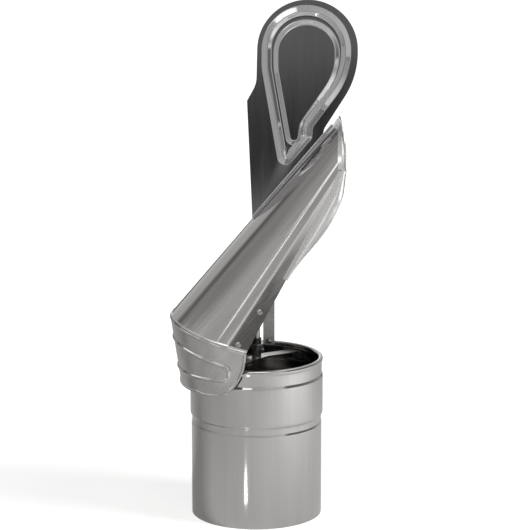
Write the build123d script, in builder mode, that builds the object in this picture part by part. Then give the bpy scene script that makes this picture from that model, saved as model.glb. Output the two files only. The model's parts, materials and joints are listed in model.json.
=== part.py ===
from build123d import *

import math
import os

# Turning chimney cowl for a round flue, in millimetres.
# A short flue pipe carries a bent strap across its neck, with a sleeve and a fixed axle in its middle.
# A hood of polished sheet hangs on the axle by a ball cup and a lower bush, and turns with the wind:
# its skirt laps the pipe, its channel leads the smoke away, and a fin on its crown steers it.
# Frame: origin on the pipe's axis at its lower end, +X towards the hood's mouth, +Z up.

# Sheet thicknesses and fits
SHEET = 0.8
FIN_SHEET = 1.0
STRAP_SHEET = 1.5
SEAT = 0.05
RUNNING_FIT = 0.06
RIVET_FIT = 0.05

# Flue pipe
PIPE_HEIGHT = 184.5
SPIGOT_RADIUS = 74.7
SPIGOT_HEIGHT = 107.5
BODY_RADIUS = 76.0
GROOVE_WIDTH = 11.5
GROOVE_DEPTH = 1.9
NECK_RADIUS = 74.8
NECK_HEIGHT = 19.0
RIM_RADIUS = 75.9
CURL_RADIUS = 2.6
CURL_TURN = 250.0
STEP_RUN = 2.4
SHEET_BEND = 1.6

# Bridge strap across the neck, heights over the rim
BRIDGE_TURN = 50.0
BRIDGE_WIDTH = 15.0
BRIDGE_FLAT = 12.0
BRIDGE_BEND = 2.4
BRIDGE_MIDDLE = -2.0
BRIDGE_END = -7.9
BRIDGE_TAB = 9.2
BRIDGE_RIVET_UP = 4.1

# Axle, its sleeve on the bridge and what holds it
AXLE_RADIUS = 4.0
SLEEVE_RADIUS = 5.5
SLEEVE_BELOW_RIM = 8.8
SLEEVE_ABOVE_RIM = 11.3
SCREW_RADIUS = 2.0
SCREW_HEAD_RADIUS = 2.6
SCREW_HEAD_LENGTH = 3.2
SCREW_BELOW_TOP = 4.2
SLOT_WIDTH = 0.8
BALL_RADIUS = 3.5
BALL_SINK = 1.2
BALL_PLAY = 0.03
CLIP_RADIUS = 5.8
CLIP_GROOVE = 0.7
CLIP_THICKNESS = 1.0
CLIP_PLAY = 0.4
CLIP_GAP = 3.0

# Hood channel: a tapering U section, from the mitre with the skirt up to the tip over the mouth
SPINE_ANGLE = 49.65
SKIRT_LEAN = 8.7
MITRE_BACK = 98.3
MITRE_RISE = 48.1
MITRE_DEPTH = 90.5
MITRE_HALF_WIDTH = 85.0
MITRE_STRAIGHT = 20.0
SPINE_LENGTH = 312.0
END_DEPTH = 26.0
END_HALF_WIDTH = 52.0
END_STRAIGHT = 2.0
MOUTH_X = 94.0
MOUTH_TIP_BACK = 2.5
MOUTH_TIP_GIRTH = 1.5

# Flared lip round the mouth
LIP_START = 92.0
LIP_WIDTH = 1.8
LIP_BULGE = 11.0
LIP_BULGE_HEIGHT = 144.0
LIP_SHOULDER = 6.0
LIP_SHOULDER_HEIGHT = 50.0
LIP_SHOULDER_SKEW = 1.4
LIP_CORNER = 4.0
LIP_FLARE = 60.0
LIP_LAP = 4.0
LIP_SEAT = 0.2
LIP_TURN = 0.6
LIP_EDGE_STEPS = 8
LIP_MOUTH_STEPS = 12

# Skirt behind the pipe
SKIRT_DROP = 28.5
SKIRT_SWEEP = 36.6
RIB_BELOW_MITRE = 21.8
RIB_ABOVE_HEM = 19.5
RIB_BEHIND_EDGE = 20.0
RIB_CORNER = 6.0
RIB_HEIGHT = 1.6
RIB_WIDTH = 5.0
HEM_HEIGHT = 3.0
HEM_THICKNESS = 0.9
SEAM_WIDTH = 3.2
SEAM_THICKNESS = 0.9
LAP_LENGTH = 18.0
LAP_REACH = 17.0

# Wind fin: a plate with a round head and two pressed beads that follow its outline
FIN_CENTRE_X = 57.1
FIN_CENTRE_RISE = 350.5
FIN_RADIUS = 56.2
OUTER_BEAD_RADIUS = 49.85
OUTER_BEAD_BACK = 1.35
OUTER_BEAD_LOW = 0.2
OUTER_BEAD_WIDTH = 7.0
INNER_BEAD_RADIUS = 37.7
INNER_BEAD_BACK = 1.0
INNER_BEAD_LOW = 3.1
INNER_BEAD_WIDTH = 6.2
BEAD_HEIGHT = 2.2
BEAD_SLOPE = 38.0
# Corners below each head, down its back and up its front: x, height and radius from the head's centre
FIN_BACK_CORNERS = ((-57.1, -38.0, 30.0), (-67.6, -57.0, 1.5))
FIN_FRONT_CORNERS = ((19.4, -88.0, 12.0), (56.2, -30.0, 92.0))
OUTER_BEAD_CORNERS = (
    (-49.85, -5.8, 60.0),
    (-28.45, -140.3, 9.0),
    (6.75, -98.9, 4.0),
    (7.75, -85.8, 10.0),
    (49.85, -29.8, 85.0),
)
INNER_BEAD_CORNERS = (
    (-37.7, -4.4, 60.0),
    (-23.6, -107.9, 9.4),
    (-4.6, -107.9, 9.4),
    (-1.6, -81.9, 10.0),
    (37.7, -23.9, 72.0),
)
FIN_HEEL = 144.7
FIN_HEEL_CORNER = 4.0
FIN_HEEL_LENGTH = 13.0
FIN_ROOT = 8.0
FOOT_START = 147.0
FIN_TOE = 265.0
FOOT_TIP_GAP = 4.0
FOOT_WIDTH = 9.0
FOOT_TIP_WIDTH = 20.0
FOOT_RIVETS = (165.0, 198.0, 231.0, 264.0)
FOOT_RIVET_SIDE = 5.4

# Bearing frame inside the hood
STRAP_RIVET_ALONG = 49.2
STRAP_RIVET_INWARD = 8.9
CROSS_STRAP_WIDTH = 13.0
CROSS_TAB_UP = 8.5
CROSS_TAB_DOWN = 6.5
CROSS_PLATE_HALF = 20.0
CROSS_PLATE_BACK = 11.0
POST_CLEARANCE = 0.6
POST_WIDTH = 13.0
POST_THICKNESS = 2.0
POST_BEND = 3.0
POST_TAB = 16.0
POST_RIVET_IN = 5.5
CUP_RADIUS = 7.0
CUP_LENGTH = 17.0
CUP_ROOF = 2.5
STUD_RADIUS = 3.0
STUD_END = 2.5
NUT_ACROSS_FLATS = 10.0
NUT_HEIGHT = 5.0
WASHER_RADIUS = 8.0
WASHER_THICKNESS = 1.2
BUSH_RADIUS = 5.3
BUSH_HEIGHT = 6.0
BUSH_FLANGE_RADIUS = 8.0
BUSH_FLANGE = 1.2
BUSH_GAP = 0.35
LOWER_PLATE_RADIUS = 8.5
LOWER_TAB = 6.5
LOWER_TAB_RIVET = 2.9

# Rivets
RIVET_RADIUS = 1.6
RIVET_HEAD_RADIUS = 3.2
RIVET_HEAD = 1.3
SEAM_RIVET_ALONG = 6.8
SEAM_RIVET_INWARD = 12.5

# Derived places
RIM = PIPE_HEIGHT
MITRE_ANGLE = (SPINE_ANGLE + SKIRT_LEAN - 90) / 2
SPAN = 300.0
SKIRT_REACH = MITRE_RISE + SKIRT_DROP + SKIRT_SWEEP


def direction(angle):
    """Unit vector of the side view, at an angle over +X."""
    return Vector(math.cos(math.radians(angle)), 0, math.sin(math.radians(angle)))


SPINE = direction(SPINE_ANGLE)
INWARD = direction(MITRE_ANGLE)
ACROSS = direction(MITRE_ANGLE + 90)
SKIRT_DOWN = direction(SKIRT_LEAN - 90)
MITRE_CORNER = Vector(-MITRE_BACK, 0, RIM + MITRE_RISE)
MITRE_FRONT = MITRE_CORNER + INWARD * MITRE_DEPTH
END_CORNER = MITRE_CORNER + SPINE * SPINE_LENGTH
END_FRONT = END_CORNER + INWARD * END_DEPTH
EDGE_LENGTH = (END_FRONT - MITRE_FRONT).length
SLANT = math.sin(math.radians(SPINE_ANGLE - MITRE_ANGLE))


def section_sizes(share):
    """Depth, half width and straight side of the channel's section, a share of the way up."""
    depth = MITRE_DEPTH + (END_DEPTH - MITRE_DEPTH) * share
    half_width = MITRE_HALF_WIDTH + (END_HALF_WIDTH - MITRE_HALF_WIDTH) * share
    straight = MITRE_STRAIGHT + (END_STRAIGHT - MITRE_STRAIGHT) * share
    return depth, half_width, straight


def wall_point(share, girth):
    """Point of the channel's outer wall: girth runs 0 to 1 up the straight side, then 1 to 2 to the crown."""
    depth, half_width, straight = section_sizes(share)
    corner = MITRE_CORNER + SPINE * (SPINE_LENGTH * share)
    if girth < 1:
        return corner + INWARD * (depth - straight * girth) + Vector(0, half_width, 0)
    angle = math.radians(90 * (girth - 1))
    inward = (depth - straight) * (1 - math.sin(angle))
    return corner + INWARD * inward + Vector(0, half_width * math.cos(angle), 0)


def wall_normal(share, girth):
    """Outward unit normal of the channel's wall."""
    step = 1e-4
    low, high = (girth, girth + step) if girth < 2 - step else (girth - step, girth)
    round_it = wall_point(share, high) - wall_point(share, low)
    up_it = wall_point(share + step, girth) - wall_point(share - step, girth)
    return up_it.cross(round_it).normalized() * -1


def mouth_share(girth):
    """Share of the channel's length at which its wall ends: upright, and rounded back towards the tip."""
    start, end = wall_point(0, girth).X, wall_point(1, girth).X
    rounding = max(0, girth - MOUTH_TIP_GIRTH) / (2 - MOUTH_TIP_GIRTH)
    return (MOUTH_X - MOUTH_TIP_BACK * rounding**2 - start) / (end - start)


def side_plane(along, inward, side, out):
    """Plane on the channel's flat side, a distance along and inward from its lower edge, z outward."""
    share = along / EDGE_LENGTH
    straight = section_sizes(share)[2]
    point = wall_point(share, inward / straight)
    normal = wall_normal(share, inward / straight)
    place = point + normal * out
    return Plane(
        origin=(place.X, side * place.Y, place.Z),
        z_dir=(normal.X, side * normal.Y, normal.Z),
    )


def crown_plane(along, sideways, out):
    """Plane on the channel's crown, a distance up the spine and towards -Y, z outward."""
    share = along / SPINE_LENGTH
    half_width = section_sizes(share)[1]
    girth = 1 + math.degrees(math.acos(sideways / half_width)) / 90
    normal = wall_normal(share, girth)
    place = wall_point(share, girth) + normal * out
    return Plane(origin=(place.X, -place.Y, place.Z), z_dir=(normal.X, -normal.Y, normal.Z))


def section(corner, share, out, reach):
    """U section on its plane: half an ellipse at the back and two straight sides that run on by reach."""
    depth, half_width, straight = section_sizes(share)
    back = depth - straight
    side = half_width + out
    with BuildSketch(Plane(origin=corner, x_dir=INWARD, z_dir=ACROSS)) as outline:
        with BuildLine():
            arc = EllipticalCenterArc((back, 0), back + out / SLANT, side, start_angle=90, arc_size=180)
            Polyline(arc @ 1, (depth + reach, -side), (depth + reach, side), arc @ 0)
        make_face()
    return outline.sketch


def channel_core(out, reach=0.0):
    """Solid filling of the hood channel, its wall moved out by out and its open side by reach."""
    with BuildPart() as core:
        loft([section(MITRE_CORNER, 0, out, reach), section(END_CORNER, 1, out, reach)], ruled=True)
    return core.part


def skirt_core(out, reach=0.0):
    """Solid filling of the skirt: the mitre's section carried down along the skirt's lean."""
    with BuildPart() as core:
        extrude(section(MITRE_CORNER, 0, out, reach), amount=SKIRT_REACH, dir=SKIRT_DOWN)
    return core.part


def shell(core, outer, inner):
    """Wall between two offsets of a core, open on the core's front side."""
    with BuildPart() as wall:
        add(core(outer))
        add(core(inner, reach=SPAN / 10), mode=Mode.SUBTRACT)
    return wall.part


def side_prism(points, from_y=-SPAN, to_y=SPAN):
    """Block with a polygon of the side view as its section, between two values of y."""
    with BuildPart() as prism:
        with BuildSketch(Plane.XZ.offset(-to_y)):
            with BuildLine():
                Polyline(*[(point.X, point.Z) for point in points], close=True)
            make_face()
        extrude(amount=to_y - from_y)
    return prism.part


def mitre_slab(low, high, back=-SPAN, front=SPAN):
    """Slab along the mitre, between two heights over it and two distances inward."""
    corners = ((back, low), (front, low), (front, high), (back, high))
    return side_prism([MITRE_CORNER + INWARD * inward + ACROSS * rise for inward, rise in corners])


def box_between(low, high):
    """Block between two corners."""
    size = [end - start for start, end in zip(low, high)]
    with BuildPart() as block:
        with Locations([tuple(low)]):
            Box(*size, align=(Align.MIN, Align.MIN, Align.MIN))
    return block.part


def make_rivet(grip):
    """Rivet with its dome over the z = 0 plane, a shank of length grip under it and a flat tail."""
    tail = 0.8 * RIVET_HEAD_RADIUS
    foot = grip + 0.6 * RIVET_HEAD
    with BuildPart() as rivet:
        with BuildSketch(Plane.XZ):
            with BuildLine():
                dome = ThreePointArc(
                    (0, RIVET_HEAD),
                    (0.64 * RIVET_HEAD_RADIUS, 0.68 * RIVET_HEAD),
                    (RIVET_HEAD_RADIUS, 0),
                )
                Polyline(
                    dome @ 1,
                    (RIVET_RADIUS, 0),
                    (RIVET_RADIUS, -grip),
                    (tail, -grip),
                    (tail, -foot),
                    (0, -foot),
                    dome @ 0,
                )
            make_face()
        revolve(axis=Axis.Z)
    return rivet.part


def drill(places, reach=6.0, radius=RIVET_RADIUS + RIVET_FIT):
    """Bits that drill a hole at each plane, reach deep on both sides of it."""
    with BuildPart() as bits:
        with Locations(*places):
            Cylinder(radius, 2 * reach)
    return bits.part


def ring(radius, bore, height, foot):
    """Turned ring about the axle, standing at a height."""
    with BuildPart() as turned:
        with BuildSketch(Plane.XY.offset(foot)):
            Circle(radius)
            Circle(bore, mode=Mode.SUBTRACT)
        extrude(amount=height)
    return turned.part


# Bridge plane: x across the pipe along the strap, y up from the rim
bridge_x = Vector(math.cos(math.radians(BRIDGE_TURN)), math.sin(math.radians(BRIDGE_TURN)), 0)
bridge_plane = Plane(origin=(0, 0, RIM), x_dir=bridge_x, z_dir=bridge_x.cross(Vector(0, 0, 1)))
neck_bore = NECK_RADIUS - SHEET
bridge_reach = math.sqrt(neck_bore**2 - (BRIDGE_WIDTH / 2) ** 2) - SEAT
bridge_foot = BRIDGE_END - BRIDGE_TAB
bridge_rivet_grip = NECK_RADIUS + SEAT - (bridge_reach - STRAP_SHEET) + SEAT
bridge_rivet_places = [
    Plane(
        origin=bridge_x * side * (NECK_RADIUS + SEAT) + Vector(0, 0, RIM + bridge_foot + BRIDGE_RIVET_UP),
        z_dir=bridge_x * side,
    )
    for side in (1, -1)
]
bridge_drill = drill(bridge_rivet_places)

# Flue pipe: plain spigot, stiffening groove, body, narrower neck and a rim curled inwards
with BuildPart() as flue_pipe:
    with BuildSketch(Plane.XZ):
        with BuildLine():
            groove_top = SPIGOT_HEIGHT + GROOVE_WIDTH
            groove_radius = BODY_RADIUS - GROOVE_DEPTH
            neck_foot = RIM - NECK_HEIGHT
            flare_top = RIM - 1.5 * CURL_RADIUS
            FilletPolyline(
                (SPIGOT_RADIUS, 0),
                (SPIGOT_RADIUS, SPIGOT_HEIGHT),
                (groove_radius, SPIGOT_HEIGHT + STEP_RUN),
                (groove_radius, groove_top - STEP_RUN),
                (BODY_RADIUS, groove_top),
                (BODY_RADIUS, neck_foot - STEP_RUN),
                (NECK_RADIUS, neck_foot),
                (NECK_RADIUS, flare_top - STEP_RUN),
                (RIM_RADIUS, flare_top),
                (RIM_RADIUS, RIM - CURL_RADIUS),
                radius=SHEET_BEND,
            )
            CenterArc((RIM_RADIUS - CURL_RADIUS, RIM - CURL_RADIUS), CURL_RADIUS, 0, CURL_TURN)
            offset(amount=SHEET, side=Side.LEFT)
        make_face()
    revolve(axis=Axis.Z)
    add(bridge_drill, mode=Mode.SUBTRACT)


# Bridge: one strap across the neck, bent down to a tab on the neck's wall at each end
with BuildPart() as bridge_strap:
    with BuildSketch(bridge_plane):
        with BuildLine():
            FilletPolyline(
                (-bridge_reach, bridge_foot),
                (-bridge_reach, BRIDGE_END),
                (-BRIDGE_FLAT, BRIDGE_MIDDLE),
                (BRIDGE_FLAT, BRIDGE_MIDDLE),
                (bridge_reach, BRIDGE_END),
                (bridge_reach, bridge_foot),
                radius=BRIDGE_BEND,
            )
            offset(amount=STRAP_SHEET, side=Side.RIGHT)
        make_face()
    extrude(amount=BRIDGE_WIDTH / 2, both=True)
    with Locations((0, 0, RIM)):
        Cylinder(SLEEVE_RADIUS + SEAT, SPAN, mode=Mode.SUBTRACT)
    add(bridge_drill, mode=Mode.SUBTRACT)

with BuildPart() as bridge_rivets:
    bridge_rivet = make_rivet(bridge_rivet_grip)
    with Locations(*bridge_rivet_places):
        add(bridge_rivet)

# Heights of the bearing frame, from the rivet that holds its strap down to the axle
strap_rivet_places = [side_plane(STRAP_RIVET_ALONG, STRAP_RIVET_INWARD, side, SEAT) for side in (1, -1)]
strap_x = strap_rivet_places[0].origin.X
plate_top = strap_rivet_places[0].origin.Z + CROSS_TAB_UP
plate_foot = plate_top - STRAP_SHEET
cup_top = plate_foot - SEAT
bore_top = cup_top - CUP_ROOF
ball_z = bore_top - BALL_RADIUS + BALL_SINK
axle_top = ball_z - BALL_RADIUS + BALL_SINK
sleeve_foot = RIM - SLEEVE_BELOW_RIM
sleeve_top = RIM + SLEEVE_ABOVE_RIM
bush_foot = sleeve_top + BUSH_GAP
lower_plate_foot = bush_foot + BUSH_FLANGE + SEAT
lower_plate_top = lower_plate_foot + STRAP_SHEET
bush_top = bush_foot + BUSH_FLANGE + BUSH_HEIGHT
clip_foot = bush_top + CLIP_PLAY
post_back = CUP_RADIUS + POST_CLEARANCE
post_front = post_back + POST_WIDTH
post_middle = post_back + POST_WIDTH / 2
tab_front_y = -POST_THICKNESS / 2 - SEAT - STRAP_SHEET

# Sleeve on the bridge, the axle in it and its set screw
screw_z = sleeve_top - SCREW_BELOW_TOP
screw_plane = Plane(origin=(0, 0, screw_z), z_dir=(1, 0, 0))

with BuildPart() as axle_sleeve:
    add(ring(SLEEVE_RADIUS, AXLE_RADIUS + SEAT, sleeve_top - sleeve_foot, sleeve_foot))
    with BuildSketch(screw_plane):
        Circle(SCREW_RADIUS + SEAT)
    extrude(amount=SPAN, mode=Mode.SUBTRACT)

with BuildPart() as axle_set_screw:
    with BuildSketch(screw_plane.offset(AXLE_RADIUS + 2 * SEAT)):
        Circle(SCREW_RADIUS)
    extrude(amount=SLEEVE_RADIUS - AXLE_RADIUS)
    with BuildSketch(screw_plane.offset(SLEEVE_RADIUS + SEAT)):
        Circle(SCREW_HEAD_RADIUS)
    extrude(amount=SCREW_HEAD_LENGTH)
    with BuildSketch(screw_plane.offset(SLEEVE_RADIUS + SCREW_HEAD_LENGTH)):
        Rectangle(SLOT_WIDTH, 3 * SCREW_HEAD_RADIUS)
    extrude(amount=-SLOT_WIDTH, both=True, mode=Mode.SUBTRACT)

with BuildPart() as axle_rod:
    with BuildSketch(Plane.XY.offset(sleeve_foot)):
        Circle(AXLE_RADIUS)
    extrude(amount=axle_top - sleeve_foot)
    with Locations((0, 0, ball_z)):
        Sphere(BALL_RADIUS + BALL_PLAY, mode=Mode.SUBTRACT)
    clip_groove_width = CLIP_THICKNESS + 2 * SEAT
    clip_groove = ring(2 * AXLE_RADIUS, AXLE_RADIUS - CLIP_GROOVE, clip_groove_width, clip_foot - SEAT)
    add(clip_groove, mode=Mode.SUBTRACT)

with BuildPart() as axle_circlip:
    add(ring(CLIP_RADIUS, AXLE_RADIUS - CLIP_GROOVE + SEAT, CLIP_THICKNESS, clip_foot))
    with Locations((-CLIP_RADIUS, 0, clip_foot)):
        Box(2 * CLIP_RADIUS, CLIP_GAP, 3 * CLIP_THICKNESS, mode=Mode.SUBTRACT)

# Hood channel with its rivet holes, cut upright at the mouth
seam_rivet_places = [side_plane(SEAM_RIVET_ALONG, SEAM_RIVET_INWARD, side, SEAT) for side in (1, -1)]
foot_rivet_places = [crown_plane(along, FOOT_RIVET_SIDE, 2 * SEAT + FIN_SHEET) for along in FOOT_RIVETS]
hood_drill = drill(strap_rivet_places + seam_rivet_places + foot_rivet_places)

with BuildPart() as hood_channel:
    add(shell(channel_core, 0, -SHEET))
    tip_girths = (MOUTH_TIP_GIRTH, MOUTH_TIP_GIRTH / 2 + 1, 2)
    tip_places = [wall_point(mouth_share(girth), girth) for girth in tip_girths]
    with BuildSketch(Plane.XZ):
        with BuildLine():
            rounding = ThreePointArc(*[(place.X, place.Z) for place in tip_places])
            beyond = rounding @ 1 + rounding % 1 * SPAN
            Polyline(
                rounding @ 1,
                beyond,
                (2 * SPAN, beyond.Y),
                (2 * SPAN, 0),
                (MOUTH_X, 0),
                rounding @ 0,
            )
        make_face()
    extrude(amount=SPAN, both=True, mode=Mode.SUBTRACT)
    add(hood_drill, mode=Mode.SUBTRACT)


def lip_root():
    """Share and girth of the points that the lip's sections stand on, from the lower end up to the crown."""
    corner = mouth_share(0)
    start = LIP_START / EDGE_LENGTH
    edge = [(start + (corner - start) * step / LIP_EDGE_STEPS, 0.0) for step in range(LIP_EDGE_STEPS)]
    girths = [LIP_TURN + (2 - LIP_TURN) * step / LIP_MOUTH_STEPS for step in range(LIP_MOUTH_STEPS + 1)]
    return edge + [(mouth_share(girth), girth) for girth in girths]


def lip_width(height):
    """Width of the lip at a height: a plain strip with a long bulge below and a shoulder beside the tip."""
    foot = wall_point(LIP_START / EDGE_LENGTH, 0).Z
    crown = wall_point(mouth_share(2), 2).Z
    width = LIP_WIDTH
    bulge = (height - foot) / LIP_BULGE_HEIGHT
    if 0 < bulge < 1:
        width += LIP_BULGE * math.sin(math.pi * bulge) ** 2
    shoulder = 1 + (height - crown) / LIP_SHOULDER_HEIGHT
    if 0 < shoulder < 1:
        width += LIP_SHOULDER * math.sin(math.pi * shoulder**LIP_SHOULDER_SKEW)
    return width


def lip_planes():
    """Section planes of the near half of the lip: x out of the mouth along the wall, y along its normal."""
    root = lip_root()
    points = [wall_point(*place) for place in root]
    planes = []
    for index, place in enumerate(root):
        before = points[max(index - 1, 0)]
        after = points[min(index + 1, len(points) - 1)]
        run = after - before
        if index == len(points) - 1:
            run = Vector(0, -1, 0)
        normal = wall_normal(*place)
        out = normal.cross(run).normalized()
        planes.append((points[index] + normal * LIP_SEAT, out, normal))
    return planes


def lip_section(point, out, normal):
    """Lip section: a flat lap on the wall, then an arc that flares away from it."""
    radius = lip_width(point.Z) / math.sin(math.radians(LIP_FLARE))
    with BuildSketch(Plane(origin=point, x_dir=out, z_dir=out.cross(normal))) as outline:
        with BuildLine():
            lap = Line((-LIP_LAP, 0), (0, 0))
            flare = CenterArc((0, radius), radius, -90, LIP_FLARE)
            inner = CenterArc((0, radius), radius - SHEET, -90, LIP_FLARE)
            Line(flare @ 1, inner @ 1)
            Polyline(inner @ 0, (-LIP_LAP, SHEET), lap @ 0)
        make_face()
    return outline.sketch


# Lip: a flared strip lapped on the mouth's edge, its two lower ends rounded
with BuildPart() as mouth_lip:
    near = lip_planes()
    far = [[Vector(v.X, -v.Y, v.Z) for v in vectors] for vectors in near]
    loft([lip_section(*vectors) for vectors in far + near[-2::-1]])
    lip_foot, lip_out, _ = near[0]
    lip_end = lip_foot + lip_out * lip_width(lip_foot.Z)
    lip_view = Plane(origin=(lip_end.X, 0, lip_end.Z), x_dir=(lip_out.X, 0, lip_out.Z), z_dir=(0, -1, 0))
    with BuildSketch(lip_view):
        Rectangle(LIP_CORNER, LIP_CORNER, align=(Align.MAX, Align.MIN))
        with Locations((-LIP_CORNER, LIP_CORNER)):
            Circle(LIP_CORNER, mode=Mode.SUBTRACT)
    extrude(amount=SPAN, both=True, mode=Mode.SUBTRACT)


def kept_side(inset):
    """Block with the skirt's side view above its straight hem and swept front edge, less a strip."""
    hem = RIM - SKIRT_DROP + inset
    front = MITRE_FRONT.X - inset
    with BuildPart() as keep:
        with BuildSketch(Plane.XZ):
            with BuildLine():
                sweep = EllipticalCenterArc(
                    (MITRE_FRONT.X - SKIRT_SWEEP, MITRE_FRONT.Z),
                    SKIRT_SWEEP - inset,
                    MITRE_FRONT.Z - hem,
                    start_angle=-90,
                    arc_size=90,
                )
                Polyline(sweep @ 1, (front, 2 * SPAN), (-SPAN, 2 * SPAN), (-SPAN, hem), sweep @ 0)
            make_face()
        extrude(amount=SPAN, both=True)
    return keep.part


def rib_panel(grow):
    """Block with the side view of the panel that the skirt's rib runs round, grown outwards."""
    front = MITRE_FRONT.X - RIB_BEHIND_EDGE
    foot = RIM - SKIRT_DROP + RIB_ABOVE_HEM
    upper = MITRE_CORNER - ACROSS * RIB_BELOW_MITRE
    corner = upper + INWARD * ((front - upper.X) / INWARD.X)
    far = upper - INWARD * SPAN
    with BuildPart() as panel:
        with BuildSketch(Plane.XZ):
            with BuildLine():
                FilletPolyline(
                    (far.X, far.Z),
                    (corner.X, corner.Z),
                    (front, foot),
                    (far.X, foot),
                    radius=RIB_CORNER,
                    close=True,
                )
            make_face()
            if grow:
                offset(amount=grow)
        extrude(amount=SPAN, both=True)
    return panel.part


def skirt_rib(out, shrink, reach=0.0):
    """Solid filling of the skirt's rib: a band round the panel, raised out from the wall."""
    with BuildPart() as rib:
        add(rib_panel(RIB_WIDTH / 2 - shrink))
        add(rib_panel(shrink - RIB_WIDTH / 2), mode=Mode.SUBTRACT)
        add(skirt_core(out, reach), mode=Mode.INTERSECT)
    return rib.part


def hem_fold():
    """Skirt filling outside its hem line and front line, thicker by the folded edge."""
    with BuildPart() as fold:
        add(skirt_core(HEM_THICKNESS))
        add(kept_side(HEM_HEIGHT), mode=Mode.SUBTRACT)
    return fold.part


def seam_fold():
    """Fold of the skirt's top over the channel, and the skirt's thicker wall under it."""
    with BuildPart() as over:
        add(channel_core(SEAT + SEAM_THICKNESS))
        add(channel_core(SEAT, reach=SPAN / 10), mode=Mode.SUBTRACT)
        add(mitre_slab(0, SEAM_WIDTH), mode=Mode.INTERSECT)
    with BuildPart() as under:
        add(skirt_core(SEAT + SEAM_THICKNESS))
        add(skirt_core(-SHEET, reach=SPAN / 10), mode=Mode.SUBTRACT)
        add(mitre_slab(-SEAM_WIDTH, 0), mode=Mode.INTERSECT)
    return [over.part, under.part]


def lap_tabs():
    """Two tabs of the skirt that lie inside the channel for the seam rivets, and what joins them to it."""
    with BuildPart() as tabs:
        add(channel_core(-SHEET - SEAT))
        add(channel_core(-2 * SHEET - SEAT, reach=SPAN / 10), mode=Mode.SUBTRACT)
        add(mitre_slab(0, LAP_LENGTH, back=MITRE_DEPTH - LAP_REACH), mode=Mode.INTERSECT)
    with BuildPart() as feet:
        add(skirt_core(-SHEET))
        add(skirt_core(-2 * SHEET - SEAT, reach=SPAN / 10), mode=Mode.SUBTRACT)
        add(mitre_slab(-SEAM_WIDTH, 0, back=MITRE_DEPTH - LAP_REACH), mode=Mode.INTERSECT)
    return [tabs.part, feet.part]


# Skirt: a leaning half shell with a raised rib, its edge folded into a hem, its top folded over the channel
with BuildPart() as hood_skirt:
    add(skirt_core(0))
    add(skirt_rib(RIB_HEIGHT, 0))
    add(hem_fold())
    add(skirt_core(-SHEET, reach=SPAN / 10), mode=Mode.SUBTRACT)
    add(skirt_rib(RIB_HEIGHT - SHEET, SHEET, reach=SPAN / 10), mode=Mode.SUBTRACT)
    add(kept_side(0), mode=Mode.INTERSECT)
    add(seam_fold() + lap_tabs())
    add(hood_drill, mode=Mode.SUBTRACT)

with BuildPart() as seam_rivets:
    seam_rivet = make_rivet(2 * SHEET + 3 * SEAT)
    with Locations(*seam_rivet_places):
        add(seam_rivet)


def from_head(corners, back=0.0, low=0.0):
    """Corner points of a fin outline in the side view, from places measured from its head's centre."""
    return [(FIN_CENTRE_X - back + x, RIM + FIN_CENTRE_RISE - low + z) for x, z, _ in corners]


def bead_outline(plane, radius, back, low, corners, width):
    """Band of a bead: its round head, the corners below it, and as wide as the bead."""
    with BuildSketch(plane) as band:
        with BuildLine():
            head = CenterArc((FIN_CENTRE_X - back, RIM + FIN_CENTRE_RISE - low), radius, 0, 180)
            FilletPolyline(
                head @ 1,
                *from_head(corners, back, low),
                head @ 0,
                radius=[corner for *_, corner in corners],
            )
        make_face()
        offset(amount=-width, mode=Mode.SUBTRACT)
    return band.sketch


def fin_foot():
    """Foot of the fin: a strip of its sheet bent to lie on the channel's crown, wider towards the tip."""
    tip = mouth_share(2) * SPINE_LENGTH - LIP_LAP - FOOT_TIP_GAP
    with BuildPart() as foot:
        with BuildSketch(Plane(origin=MITRE_CORNER, x_dir=SPINE, z_dir=SPINE.cross(Vector(0, 1, 0)))):
            with BuildLine():
                Polyline(
                    (FOOT_START, FIN_SHEET / 2),
                    (FOOT_START, -FOOT_WIDTH),
                    (tip, -FOOT_TIP_WIDTH),
                    (tip, FIN_SHEET / 2),
                    close=True,
                )
            make_face()
        extrude(amount=FOOT_TIP_WIDTH, both=True)
        add(channel_core(SEAT + FIN_SHEET), mode=Mode.INTERSECT)
        add(channel_core(SEAT), mode=Mode.SUBTRACT)
    return foot.part


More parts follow.
